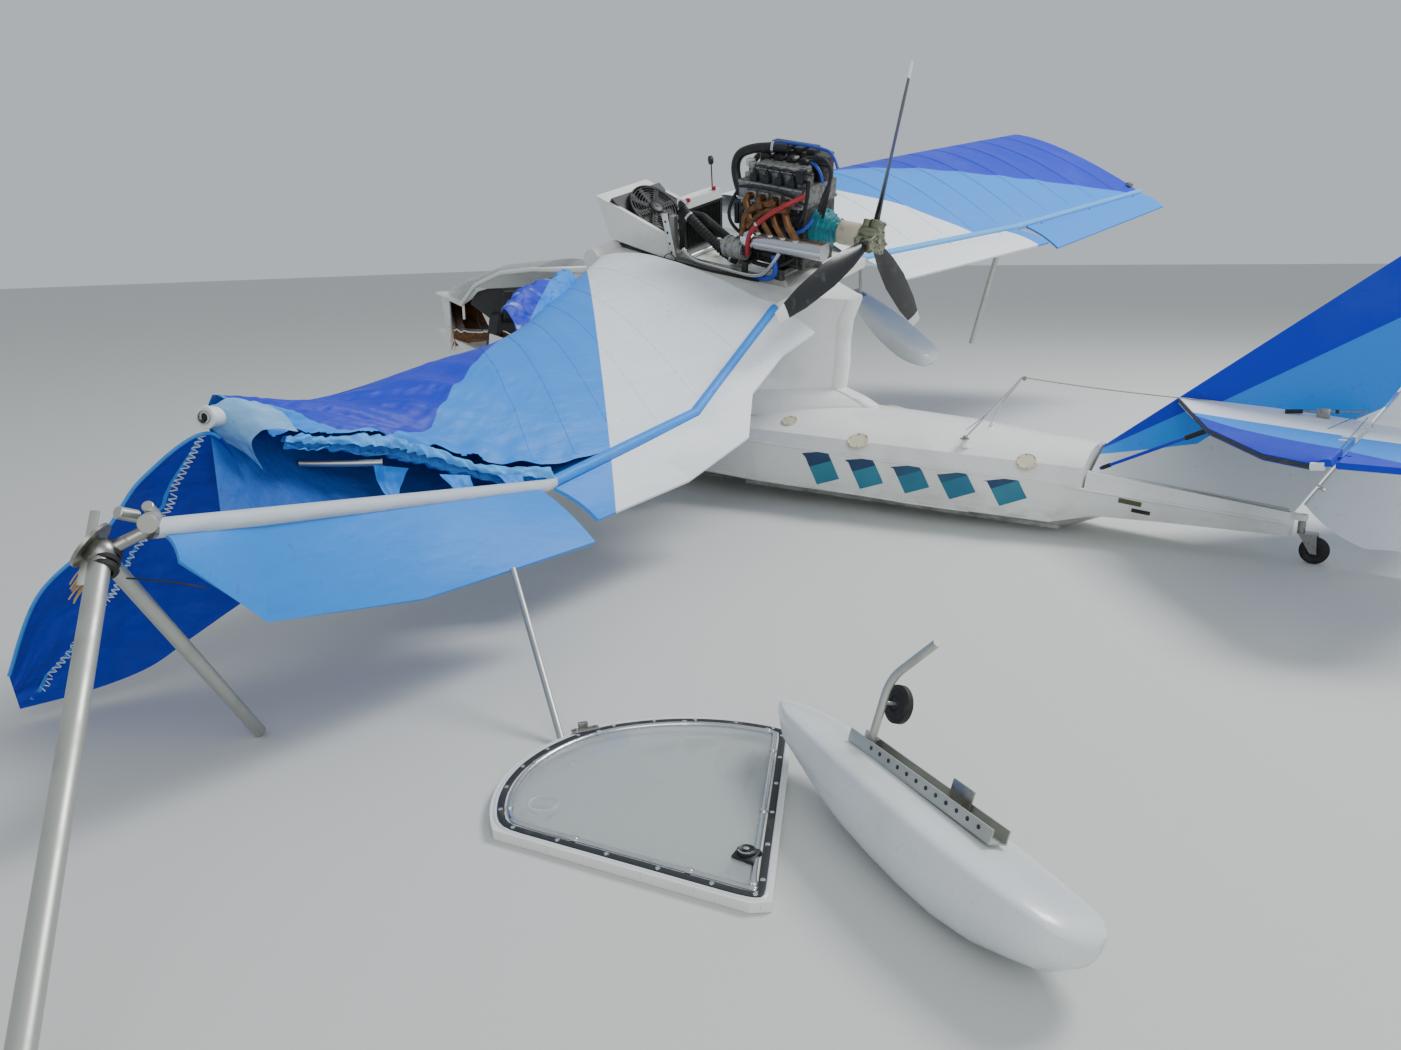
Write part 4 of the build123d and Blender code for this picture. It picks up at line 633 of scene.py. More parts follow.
def star_place(u, v):
    """Starboard wing's covering: taut over its ribs, hollow between them, creased between."""
    row = along_rows(star_rows, v)
    lead, trail, arch = Vector(row[:3]), Vector(row[3:6]), row[6]
    point = wing_section(lead, trail, arch, star_nose, u)
    hollow = sin(pi * ((v * star_ribs) % 1)) * 0.009
    reach = min(u / side_share, 1.0) if u < 0.5 else (u - lower_start) / side_share
    middle = max(0.0, sin(pi * reach))
    side = -1 if u < 0.5 else 1
    crease = 0.012 * ripple(Vector((u * 4, v * 26 + u * 5, 0)), 1.0) * middle
    return point + up * (side * hollow * middle + crease * 0.5)


star_cover = cloth("starboard_wing_covering", star_place, 92, 150, star_cloth)[0]
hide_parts("starboard_wing")

port_rows = [    # upper lead, upper trail, arch, then lower lead, lower trail, sag
    (2.380, 0.450, 1.370, 1.096, 0.450, 1.128, 0.093, 2.380, 0.450, 1.342, 1.096, 0.450, 1.114, 0.000),
    (1.973, 1.248, 1.172, 0.880, 1.440, 0.700, 0.090, 1.973, 1.248, 1.145, 0.880, 1.440, 0.686, 0.010),
    (1.640, 1.900, 1.026, 0.792, 2.235, 0.612, 0.078, 1.640, 1.900, 0.985, 0.792, 2.235, 0.590, 0.020),
    (1.470, 2.500, 0.966, 0.884, 2.716, 0.655, 0.042, 1.440, 2.600, 0.832, 0.778, 2.668, 0.515, 0.150),
    (1.292, 3.170, 0.902, 1.022, 3.080, 0.792, 0.028, 1.272, 3.170, 0.812, 0.575, 3.250, 0.603, 0.210),
    (0.968, 3.712, 1.004, 0.902, 3.562, 0.892, 0.012, 0.962, 3.738, 0.912, 0.352, 4.056, 0.752, 0.255),
]

port_nose = 0.028       # height of the top cloth over the bent leading edge
port_ribs = 10
nose_cloth = 0.12       # share of the bottom cloth that wraps the nose


def upper_place(u, v):
    """Top cloth of the port wing from root to tear: taut inboard, slack and wrinkled towards its torn end."""
    row = along_rows(port_rows, v)
    lead, arch = Vector(row[:3]), row[6]
    run = Vector(row[3:6]) - lead
    rise = rise_from(run)
    point = lead + run * u + rise * (arch * sin(pi * u ** arch_skew) + port_nose * (1 - u) ** 0.5)
    slack = min(1.0, max(0.0, (v - 0.35) / 0.25))
    folds = ripple(Vector((u * 2.2 - v * 3, v * 17 + u * 6, 0)), 1.0, 3.0)
    fine = ripple(Vector((u * 9, v * 40 - u * 14, 2)), 1.0, 9.0)
    hollow = sin(pi * ((v * port_ribs) % 1)) * 0.007 * sin(pi * u) * (1 - slack)
    ragged = max(0.0, u - 0.8) * 5 * slack
    return point + rise * ((0.004 + 0.020 * slack) * folds * sin(pi * u) ** 0.5
                           + 0.004 * slack * fine - hollow + 0.05 * ragged * ripple(point, 0.11, 5.0))


def upper_torn(u, v):
    """Cloth torn away along the outer rear edge."""
    edge = 1.0 - max(0.0, v - 0.60) * 0.18 + 0.05 * ripple(Vector((v * 30, 0, 0)), 1.0)
    return v > 0.58 and u > edge


port_upper, upper_area = cloth("port_wing_upper_cloth", upper_place, 80, 200, port_cloth,
                               torn=upper_torn)
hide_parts("port_wing_top_skin", "port_wing_inner")


def lower_place(u, v):
    """Bottom cloth: from the nose of the wing to the rear spar, hanging in a deep bag past the break."""
    row = along_rows(port_rows, v)
    upper_lead, lead, sag = Vector(row[:3]), Vector(row[7:10]), row[13]
    run = Vector(row[10:13]) - lead
    rise = rise_from(run)
    if u < nose_cloth:
        share = u / nose_cloth
        front = forward * (0.03 * sin(pi * share))
        return upper_lead.lerp(lead, share) + rise * (port_nose * (1 - share)) + front
    back = (u - nose_cloth) / (1 - nose_cloth)
    slack = min(1.0, sag / 0.12)
    folds = ripple(Vector((back * 3 - v * 2, v * 20, 4)), 1.0, 1.0)
    return lead + run * back - rise * (sag * sin(pi * back) - 0.014 * slack * folds * sin(pi * back))


port_lower, lower_area = cloth("port_wing_lower_cloth", lower_place, 72, 150, lining_cloth)
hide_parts("port_wing_bottom_skin")

# Torn rags at the break: a thick crumpled roll of cloth along the torn edge
rag_line = vectors((0.76, 2.50, 0.600), (0.86, 2.76, 0.655), (0.97, 2.95, 0.745), (1.03, 3.06, 0.790),
                   (1.01, 3.30, 0.840), (0.93, 3.52, 0.885))


def rag_place(u, v):
    """Crumpled strip that hangs from the torn edge."""
    curl = 1.7 * pi * u
    girth = 0.030 + 0.022 * ripple(Vector((v * 9, 0, 0)), 1.0, 2.0)
    drop = Vector((-cos(curl) * girth - 0.01, 0, -0.030 + sin(curl) * girth))
    crush = ripple(Vector((u * 5, v * 34, 0)), 1.0, 6.0) * 0.020
    return on_line(rag_line, v) + drop + Vector((crush, crush * 0.4, -crush * 0.8))


rags, rag_area = cloth("port_wing_torn_edge", rag_place, 26, 130,
                       sailcloth("sailcloth torn edge", "4FA6F0", crease=0.004))

# Loose wing tip: a bag of cloth laced along one side. Rows run from its hidden end to the outer corner
tip_rows = [    # upper edge x y z, lower edge x y z, depth of the bag
    (1.020, 3.420, 0.590, 1.043, 3.318, 0.456, 0.010),
    (1.000, 3.600, 0.720, 1.090, 3.440, 0.370, 0.050),
    (0.955, 3.745, 0.915, 1.175, 3.610, 0.270, 0.080),
    (1.060, 3.920, 0.790, 1.255, 3.760, 0.170, 0.085),
    (1.120, 4.035, 0.630, 1.315, 3.890, 0.090, 0.075),
    (1.230, 4.205, 0.455, 1.365, 4.060, 0.055, 0.050),
    (1.345, 4.290, 0.190, 1.400, 4.262, 0.052, 0.015),
]
tip_front = Vector((-0.911, 0.189, -0.367))


def tip_middle(u, v):
    """Point between the edges of the tip bag, how deep the bag is there and how far it bulges."""
    row = along_rows(tip_rows, v)
    return Vector(row[:3]).lerp(Vector(row[3:6]), u), row[6], sin(pi * u) ** 0.8


def tip_place(u, v):
    """Hanging tip bag: u runs from the upper edge round the sagging face to the lower edge."""
    point, depth, belly = tip_middle(u, v)
    folds = ripple(Vector((u * 3 - v * 4, v * 14 + u * 3, 0)), 1.0, 4.0)
    fine = ripple(Vector((u * 14, v * 30, 0)), 1.0, 8.0)
    return point + tip_front * (-depth * belly * 0.55 + 0.018 * folds * belly + 0.005 * fine * belly)


def tip_back_place(u, v):
    """Front side of the bag, which bulges the other way."""
    point, depth, belly = tip_middle(u, v)
    return point - tip_front * (depth * belly * 1.1 + 0.004)


tip_bag, tip_area = cloth("port_tip_cloth", tip_place, 60, 110, tip_cloth)
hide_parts("port_wing_tip")
tip_back, back_area = cloth("port_tip_cloth_front", tip_back_place, 40, 70, tip_cloth)


# Engine: castings, covers, hoses and clamps round the plain block

def bolts(mesh, places, axis, radius, height):
    """Hexagon heads that stand on a face."""
    for place in places:
        turned(mesh, place, axis, solid((0, radius), (height, radius), (height, radius * 0.4)), 6)


block_half, block_top, block_front = 0.150, 0.130, 0.800
head_half, head_top, cover_top = 0.170, 0.240, 0.295
cylinder_pitch = 0.085
cylinders = [0.69 - cylinder_pitch * index for index in range(4)]

ribs = bmesh.new()
for side in (1, -1):
    for index in range(9):
        crate(ribs, (0.575, side * (block_half + 0.004), -0.185 + index * 0.034), (0.43, 0.016, 0.007))
    for s in (0.38, 0.47, 0.56, 0.65, 0.74):
        crate(ribs, (s, side * (block_half + 0.006), -0.05), (0.010, 0.020, 0.30))
for index in range(7):
    block(ribs, at(block_front + 0.003, 0, -0.03 + index * 0.022), abeam, lift, (0.26, 0.010, 0.006))
turned(ribs, at(block_front, 0.06, 0.02), shaft, solid((0, 0.055), (0.016, 0.055), (0.02, 0.05)))
turned(ribs, at(block_front, -0.07, -0.02), shaft, solid((0, 0.04), (0.022, 0.04), (0.024, 0.03)))
piece("block_ribs", ribs, cast_dark)

casting = bmesh.new()
for side in (1, -1):
    crate(casting, (0.57, side * (head_half + 0.003), block_top + 0.010), (0.436, 0.018, 0.016))
    crate(casting, (0.57, side * (head_half + 0.001), head_top - 0.008), (0.430, 0.014, 0.012))
    for s in cylinders:
        crate(casting, (s, side * (head_half + 0.005), 0.165), (0.068, 0.014, 0.058), 0.005)
crate(casting, (0.565, 0.062, cover_top + 0.005), (0.330, 0.118, 0.014), 0.005)
for index in range(6):
    crate(casting, (0.44 + index * 0.05, 0.062, cover_top + 0.014), (0.010, 0.104, 0.008))
crate(casting, (0.77, 0.05, head_top - 0.02), (0.05, 0.11, 0.09), 0.008)
turned(casting, at(0.735, 0.105, cover_top), lift, solid((0, 0.024), (0.03, 0.024), (0.034, 0.018)))
piece("head_castings", casting, cast_light)

heads = bmesh.new()
bolts(heads, [at(s + step, head_half + 0.012, 0.165 + rise)
              for s in cylinders for step, rise in ((0.026, 0.02), (-0.026, -0.02))], abeam, 0.006, 0.006)
bolts(heads, [at(0.41 + 0.062 * i, t, cover_top + 0.010) for i in range(6) for t in (0.008, 0.116)], lift,
      0.0055, 0.006)
bolts(heads, [at(0.38 + 0.065 * i, block_half + 0.006, block_top - 0.012) for i in range(7)], abeam, 0.007,
      0.008)
for step_s, reach, count in ((0.300, 0.100, 8), (0.250, 0.085, 8), (0.225, 0.070, 6)):
    for index in range(count):
        turn = 2 * pi * index / count + 0.2
        bolts(heads, [at(step_s, reach * cos(turn), reach * sin(turn))], -shaft, 0.0055, 0.007)
piece("engine_bolts", heads, steel)

coils = bmesh.new()
for s in cylinders:
    crate(coils, (s, 0.142, head_top + 0.020), (0.046, 0.050, 0.044), 0.006)
    turned(coils, at(s, 0.150, head_top + 0.036), lift, solid((0, 0.013), (0.028, 0.011)), 14)
    hose(coils, [(s, 0.150, head_top + 0.064), (s - 0.01, 0.158, head_top + 0.088),
                 (s - 0.06, 0.150, head_top + 0.092), (s - 0.12, 0.140, head_top + 0.075)], 0.0045)
for index in range(4):
    s = 0.70 - cylinder_pitch * index
    turned(coils, at(s, -0.035, head_top + 0.10), abeam, solid((0, 0.030), (0.06, 0.034), (0.075, 0.026)), 20)
    crate(coils, (s, -0.06, head_top + 0.150), (0.05, 0.07, 0.03), 0.005)
crate(coils, (0.33, 0.02, 0.36), (0.08, 0.10, 0.07), 0.010)
crate(coils, (0.60, -0.12, 0.395), (0.30, 0.05, 0.026), 0.008)
crate(coils, (0.385, 0.135, 0.300), (0.05, 0.05, 0.075), 0.008)
crate(coils, (0.815, 0.12, 0.04), (0.03, 0.08, 0.12), 0.006)
hose(coils, [(0.83, 0.08, 0.12), (0.90, 0.06, 0.22), (0.89, 0.05, 0.335), (0.79, 0.04, 0.382),
             (0.66, 0.02, 0.400), (0.58, -0.01, 0.395)], 0.027, 5)
hose(coils, [(0.85, -0.10, 0.05), (0.93, -0.12, 0.16), (0.90, -0.14, 0.30), (0.78, -0.13, 0.35)], 0.018, 4)
piece("coils_and_intake", coils, black_plastic)

loops = bmesh.new()
for reach, side, size in ((0.0, 0.14, 0.009), (0.020, 0.12, 0.008), (0.045, 0.10, 0.007)):
    hose(loops, [(0.36, side - 0.02, 0.40 - reach), (0.28, side, 0.425 - reach),
                 (0.205 + reach * 0.3, side, 0.40 - reach), (0.190 + reach * 0.6, side + 0.005, 0.31),
                 (0.235, side + 0.01, 0.22 - reach), (0.262, side, 0.135 - reach)], size)
hose(loops, [(0.78, 0.17, 0.20), (0.70, 0.19, 0.215), (0.55, 0.195, 0.222), (0.42, 0.19, 0.21),
             (0.34, 0.16, 0.16)], 0.007)
hose(loops, [(0.42, 0.17, 0.02), (0.36, 0.20, 0.06), (0.32, 0.17, 0.14), (0.35, 0.12, 0.28)], 0.011)
hose(loops, [(0.76, 0.15, -0.08), (0.82, 0.20, -0.03), (0.86, 0.18, 0.08), (0.80, 0.15, 0.18)], 0.010)
hose(loops, [(0.38, 0.16, -0.12), (0.42, 0.21, -0.17), (0.52, 0.215, -0.21), (0.66, 0.20, -0.205)], 0.012)
hose(loops, [(0.85, -0.05, -0.12), (0.95, -0.06, -0.20), (1.08, -0.08, -0.22), (1.18, -0.08, -0.17)], 0.020,
     4)
piece("engine_hoses", loops, rubber)

ribbed = bmesh.new()
hose_line = vectors((1.225, 0.150, 0.030), (1.20, 0.185, 0.010), (1.12, 0.185, -0.045), (1.00, 0.180, -0.125),
                    (0.90, 0.178, -0.195), (0.80, 0.170, -0.232))
hose(ribbed, hose_line, 0.026, 5)
for start, end in zip(hose_line[1:-1], hose_line[2:]):
    for index in range(6):
        middle = start.lerp(end, index / 6)
        run = (at(*end) - at(*start)).normalized()
        turned(ribbed, at(*middle), run, [(-0.004, 0.022), (-0.0015, 0.0295), (0.0015, 0.0295),
                                          (0.004, 0.022)], 20)
piece("ribbed_hose", ribbed, rubber)

bands = bmesh.new()
for place, aim, size in (((1.145, 0.186, -0.028), (1.00, 0.180, -0.125), 0.031),
                         ((0.835, 0.173, -0.222), (0.80, 0.170, -0.232), 0.031),
                         ((0.56, 0.302, 0.058), (0.62, 0.300, 0.0), 0.0155),
                         ((0.66, 0.022, 0.400), (0.58, -0.01, 0.395), 0.0305)):
    run = (at(*aim) - at(*place)).normalized()
    turned(bands, at(*place), run, collar(-0.007, 0.007, size - 0.004, size), 24)
piece("hose_clamps", bands, chrome)

red = bmesh.new()
hose(red, [(0.33, 0.185, 0.215), (0.37, 0.27, 0.19), (0.46, 0.300, 0.135), (0.56, 0.303, 0.058),
           (0.62, 0.300, -0.02), (0.64, 0.285, -0.11), (0.66, 0.25, -0.15)], 0.0135, 4)
piece("red_hose", red, red_rubber)

blue = bmesh.new()
hose(blue, [(0.72, 0.205, -0.288), (0.60, 0.215, -0.290), (0.50, 0.225, -0.262), (0.47, 0.230, -0.20),
            (0.50, 0.225, -0.13)], 0.015, 4)
hose(blue, [(0.70, -0.03, 0.415), (0.55, -0.02, 0.428), (0.36, 0.00, 0.430), (0.25, 0.03, 0.42),
            (0.20, 0.07, 0.36)], 0.009)
hose(blue, [(0.35, 0.10, 0.38), (0.26, 0.14, 0.365), (0.235, 0.15, 0.29)], 0.008)
hose(blue, [(0.46, 0.20, 0.02), (0.38, 0.215, 0.005), (0.31, 0.19, 0.04), (0.29, 0.15, 0.09)], 0.010)
piece("blue_hoses", blue, blue_rubber)

# Alternator: slotted drum, pulley and belt
machine = bmesh.new()
drum_t, drum_h, slot_ring = block_half + 0.0603, -0.14, 0.042
for index in range(18):
    turn = 2 * pi * index / 18
    block(machine, at(0.697, drum_t + slot_ring * cos(turn), drum_h + slot_ring * sin(turn)),
          abeam * cos(turn) + lift * sin(turn), shaft, (0.026, 0.006, 0.008), 0.0015)
turned(machine, at(0.84, drum_t, drum_h), shaft, solid((0, 0.034), (0.008, 0.034), (0.012, 0.026),
                                                       (0.018, 0.034), (0.026, 0.034), (0.026, 0.012),
                                                       (0.034, 0.012)))
for s in (0.72, 0.77, 0.82):
    turned(machine, at(s, drum_t, drum_h), shaft, collar(-0.005, 0.005, 0.059, 0.064))
crate(machine, (0.77, 0.165, -0.095), (0.05, 0.05, 0.03), 0.005)
piece("alternator_details", machine, cast_light)

# Radiator: guard rings over the fan, finned core faces, folded cowl edges
cooler = bmesh.new()
fan_axis = (lift * 0.8 - shaft * 0.6).normalized()
fan_centre = at(1.580, 0, -0.095)
guard = fan_centre + fan_axis * 0.018       # just clear of the fan
wire = 0.0015       # half the thickness of the guard's rings
for index in range(7):
    ring = 0.060 + index * 0.019
    turned(cooler, guard, fan_axis, [(-wire, ring - wire), (-wire, ring + wire), (wire, ring + wire),
                                     (wire, ring - wire), (-wire, ring - wire)], 40)
for index in range(8):
    out = Matrix.Rotation(2 * pi * index / 8, 4, fan_axis) @ abeam
    pipe(cooler, [guard + out * 0.04, guard + out * 0.175], 0.0019)
turned(cooler, guard, fan_axis, solid((-0.004, 0.048), (0.004, 0.048), (0.010, 0.040), (0.010, 0.012),
                                      (0.014, 0.010)))
piece("fan_guard", cooler, black_plastic)

edges = bmesh.new()
cowl_half = 0.235
for side in (1, -1):
    for start, end in (((1.262, -0.160), (1.690, -0.045)), ((1.690, -0.045), (1.860, -0.005))):
        block(edges, at((start[0] + end[0]) / 2, side * (cowl_half - 0.011), (start[1] + end[1]) / 2 - 0.004),
              at(end[0], 0, end[1]) - at(start[0], 0, start[1]), lift,
              (sqrt((end[0] - start[0]) ** 2 + (end[1] - start[1]) ** 2), 0.030, 0.006))
block(edges, at(1.235, 0, 0.036), abeam, lift, (0.33, 0.05, 0.05), 0.012)
piece("cowl_lips", edges, deck_skin)

bracket = bmesh.new()
block(bracket, at(1.262, 0.243, -0.150), at(1.232, 0, -0.285) - at(1.290, 0, -0.030), abeam,
      (0.262, 0.045, 0.006), 0.002)
piece("slotted_bracket", bracket, white_tube)
# Holes in the bracket: dark discs on its face, painted shade in place of open holes
slots = bmesh.new()
for share in (0.15, 0.4, 0.65, 0.85):
    turned(slots, at(1.290 - 0.058 * share, 0.2462, -0.030 - 0.255 * share), abeam,
           solid((0, 0.008), (0.0012, 0.008)), 16)
piece("bracket_hole_shade", slots, dark_trim_and_hole_shade)

stalk = bmesh.new()
hose(stalk, [(1.245, -0.16, 0.05), (1.247, -0.16, 0.13), (1.251, -0.16, 0.205)], 0.004)
turned(stalk, at(1.251, -0.168, 0.213), abeam + shaft * 0.5, solid((0, 0.026), (0.016, 0.026), (0.02, 0.018)))
piece("cooler_cap", stalk, black_plastic)

cooler_fins = bmesh.new()
for index in range(22):
    t = -0.155 + index * 0.0148
    for s in (1.2335, 1.1835):
        block(cooler_fins, at(s, t, -0.125), lift, shaft, (0.215, 0.003, 0.007), 0)
piece("cooler_fins", cooler_fins, core)

# Propeller hub: clamp blocks with bolts round a triangular plate
blade_lean = radians(-18.5)
clamps, clamp_bolts = bmesh.new(), bmesh.new()
for index in range(3):
    turn = blade_lean + 2 * pi / 3 * index
    out = lift * cos(turn) + abeam * sin(turn)
    tangent = abeam * cos(turn) - lift * sin(turn)
    for s in (-0.022, 0.040):
        block(clamps, blade_hub + out * 0.062 + shaft * s, out, shaft, (0.066, 0.078, 0.040), 0.006)
    block(clamps, blade_hub + out * 0.030 + shaft * 0.010, out, shaft, (0.050, 0.110, 0.090), 0.010)
    bolts(clamp_bolts, [blade_hub + out * (0.062 + a) + tangent * b - shaft * 0.042 for a in (-0.02, 0.02)
                        for b in (-0.027, 0.027)], -shaft, 0.0065, 0.008)
turned(clamp_bolts, blade_hub - shaft * 0.038, -shaft, solid((0, 0.024), (0.012, 0.022), (0.014, 0.012)), 24)
piece("blade_clamps", clamps, olive_alloy, "propeller")
piece("clamp_bolts", clamp_bolts, steel, "propeller")
grip = bmesh.new()
turned(grip, at(0.064, 0, 0), shaft, [(0, 0.062), (0, 0.0655), (0.130, 0.0655), (0.136, 0.062)], 40)
piece("spacer_sleeve", grip, beige_plate, "propeller")

# Wiring along the port side of the wing's centre section
loom = bmesh.new()
for shift, drop in ((0.0, 0.0), (0.012, 0.006), (0.006, -0.010)):
    hose(loom, [(1.70, 0.20 + shift, -0.292 + drop), (1.50, 0.215 + shift, -0.300 + drop),
                (1.30, 0.245 + shift, -0.296), (1.10, 0.232 + shift, -0.301 + drop),
                (0.95, 0.250 + shift, -0.297), (0.80, 0.232 + shift, -0.300),
                (0.60, 0.225 + shift, -0.300 + drop)], 0.0045)
hose(loom, [(1.30, 0.25, -0.290), (1.27, 0.262, -0.255), (1.22, 0.258, -0.25), (1.20, 0.25, -0.292)], 0.003)
piece("wiring", loom, rubber)


# Loose door on the ground: curved outline, inset by a margin measured from the solid frame's edge

def arc(start, middle, end, count):
    """Points on the circle through three points, without the last."""
    a, b, c = (Vector(p) for p in (start, middle, end))
    turn = 2 * (a.x * (b.y - c.y) + b.x * (c.y - a.y) + c.x * (a.y - b.y))
    squares = [p.length_squared for p in (a, b, c)]
    centre = Vector(((squares[0] * (b.y - c.y) + squares[1] * (c.y - a.y) + squares[2] * (a.y - b.y)) / turn,
                     (squares[0] * (c.x - b.x) + squares[1] * (a.x - c.x) + squares[2] * (b.x - a.x)) / turn))
    swing = (a - centre).angle_signed(c - centre)
    sign = 1 if abs((a - centre).angle_signed(b - centre)) < abs(swing) else -1
    return [centre + Matrix.Rotation(-swing * sign * i / count, 2) @ (a - centre) for i in range(count)]


def straight(start, end, count):
    """Points from a start to an end, without the last."""
    return [Vector(start).lerp(Vector(end), i / count) for i in range(count)]


door_edge = (straight((-0.674, 2.914), (-1.098, 3.638), 22) + straight((-1.098, 3.638), (-1.060, 3.672), 3)
             + straight((-1.060, 3.672), (-0.358, 3.811), 20)
             + arc((-0.358, 3.811), (-0.133, 3.511), (-0.158, 3.203), 22)
             + arc((-0.158, 3.203), (-0.371, 2.976), (-0.640, 2.880), 18)
             + straight((-0.640, 2.880), (-0.674, 2.914), 3))
door_middle = sum(door_edge, Vector((0, 0))) / len(door_edge)


def door_line(inset, z, soften=3):
    """Door outline set in by a distance, with its corners rounded, at a height."""
    ring = []
    for i, point in enumerate(door_edge):
        run = door_edge[(i + 1) % len(door_edge)] - door_edge[i - 1]
        inward = Vector((-run.y, run.x)).normalized()
        if inward.dot(door_middle - point) < 0:
            inward.negate()
        ring.append(point + inward * inset)
    for _ in range(soften):
        ring = [(ring[i - 1] + ring[i] * 2 + ring[(i + 1) % len(ring)]) / 4 for i in range(len(ring))]
    return [Vector((*point, z)) for point in ring]


def hoop(mesh, points):
    """Closed edge loop through points."""
    ring = [mesh.verts.new(point) for point in points]
    return [mesh.edges.new((ring[i - 1], ring[i])) for i in range(len(ring))]


def skinned(mesh, loops):
    """Bridge neighbouring loops into one skin."""
    for first, second in zip(loops[:-1], loops[1:]):
        bmesh.ops.bridge_loops(mesh, edges=first + second)


rim = bmesh.new()
rim_profile = [(0.004, 0.0020), (0.001, 0.012), (0.003, 0.022), (0.008, 0.0275), (0.014, 0.0285),
               (0.018, 0.0265)]
skinned(rim, [hoop(rim, door_line(inset, z)) for inset, z in rim_profile])
piece("door_rim", rim, float_skin, sharp=radians(60))

seal_edges = [door_line(0.018, 0.0275), door_line(0.037, 0.0275)]
pane_edges = [door_line(0.047, 0.0195, 4), door_line(0.060, 0.0265, 6), door_line(0.110, 0.0265, 150)]


def on_ring(border, v):
    """Point at a share of the way round a closed row of points."""
    reach = v * len(border)
    i = int(reach) % len(border)
    return border[i].lerp(border[(i + 1) % len(border)], reach - int(reach))


def seal_place(u, v):
    """Point of the door's rubber seal: u across it, v round the door."""
    return on_ring(seal_edges[0], v).lerp(on_ring(seal_edges[1], v), u) + up * 0.0012 * sin(pi * u)


cloth("door_seal", seal_place, 4, len(seal_edges[0]) * 2, dark_trim_and_hole_shade, 0.003, closed=True)
screws = bmesh.new()
seam = door_line(0.027, 0.0293)
for index in range(0, len(seam), 4):
    turned(screws, seam[index], up, solid((0, 0.0065), (0.002, 0.006), (0.003, 0.003)), 12)
piece("door_screws", screws, chrome)

stiffener = bmesh.new()
ring = door_line(0.050, 0.0265, 5)
pipe(stiffener, ring + ring[:2], 0.0078, 4)
for index in range(3, len(ring), 9):
    run = (ring[(index + 1) % len(ring)] - ring[index - 1]).normalized()
    turned(stiffener, ring[index] - run * 0.008, run, collar(0, 0.014, 0.0075, 0.011), 18)
piece("door_stiffener_tube", stiffener, chrome)

border_share = 0.06     # share of the pane that is its flat border
centre_hole = 0.985     # how near the pane's middle the grid ends


def bubble_place(u, v):
    """Point of the blown door pane: u from its border to the middle, v round the door."""
    border, shoulder, rounded = (on_ring(edge, v) for edge in pane_edges)
    if u < border_share:
        return border.lerp(shoulder, u / border_share)
    share = (u - border_share) / (1 - border_share)
    flat = shoulder.lerp(rounded, min(1.0, share * 3))
    if share > 1 / 3:
        flat = rounded.lerp(Vector((*door_middle, shoulder.z)), (share * 3 - 1) / 2 * centre_hole)
    return flat + up * 0.015 * sin(pi / 2 * share)


pane = cloth("door_bubble_pane", bubble_place, 26, len(pane_edges[0]) * 2, clear_pane, 0.003,
             closed=True)[0]
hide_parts("door_pane")

vent = bmesh.new()
vent_centre = Vector((-0.364, 3.640, 0.0165))
turned(vent, vent_centre, up, [(0, 0.036), (0.010, 0.036), (0.013, 0.039), (0.010, 0.044), (0, 0.044),
                               (0, 0.036)], 48)
piece("door_vent", vent, frosted_pane)
latch = bmesh.new()
latch_centre = Vector((-0.945, 3.524, 0.0275))
block(latch, latch_centre, (-0.98, -0.19, 0), up, (0.062, 0.062, 0.022), 0.009)
turned(latch, latch_centre + up * 0.011, up, solid((0, 0.024), (0.006, 0.024), (0.009, 0.020),
                                                   (0.006, 0.016)), 36)
piece("door_latch", latch, black_plastic)
knob = bmesh.new()
turned(knob, latch_centre + up * 0.017, up, solid((0, 0.007), (0.005, 0.007), (0.006, 0.004)), 20)
for index in range(5):
    turn = radians(60 + index * 26)
    block(knob, latch_centre + Vector((cos(turn), sin(turn), 0)) * 0.020 + up * 0.020,
          (-sin(turn), cos(turn), 0), up, (0.010, 0.003, 0.002), 0)
piece("door_latch_knob", knob, chrome)
hinge = bmesh.new()
hinge_run = Vector((0.50, 0.86, 0)).normalized()
block(hinge, (-0.150, 3.262, 0.031), hinge_run, up, (0.085, 0.026, 0.007))
block(hinge, (-0.133, 3.255, 0.040), hinge_run, up, (0.030, 0.012, 0.018))
bolts(hinge, [Vector((-0.150, 3.262, 0.034)) + hinge_run * step for step in (-0.03, 0.03)], up, 0.006, 0.005)
piece("door_hinge_plate", hinge, steel)

# Floats: moulded shells with a crowned deck and rounded ends
float_nose, float_tail = 0.06, 0.93     # shares of the length where the rounded ends stop and start
tip_size = 0.10                         # least size of a frame, as a share of its full size
deck_share = 0.26                       # part of a frame's depth that lies above its widest line
# Stations along a float: share, half width, depth, rise of the deck
float_stations = [(0.0, 0.035, 0.040, 0.0), (0.12, 0.085, 0.110, 0.012), (0.4, 0.125, 0.190, 0.020),
                  (0.75, 0.130, 0.200, 0.012), (1.0, 0.100, 0.120, 0.0)]


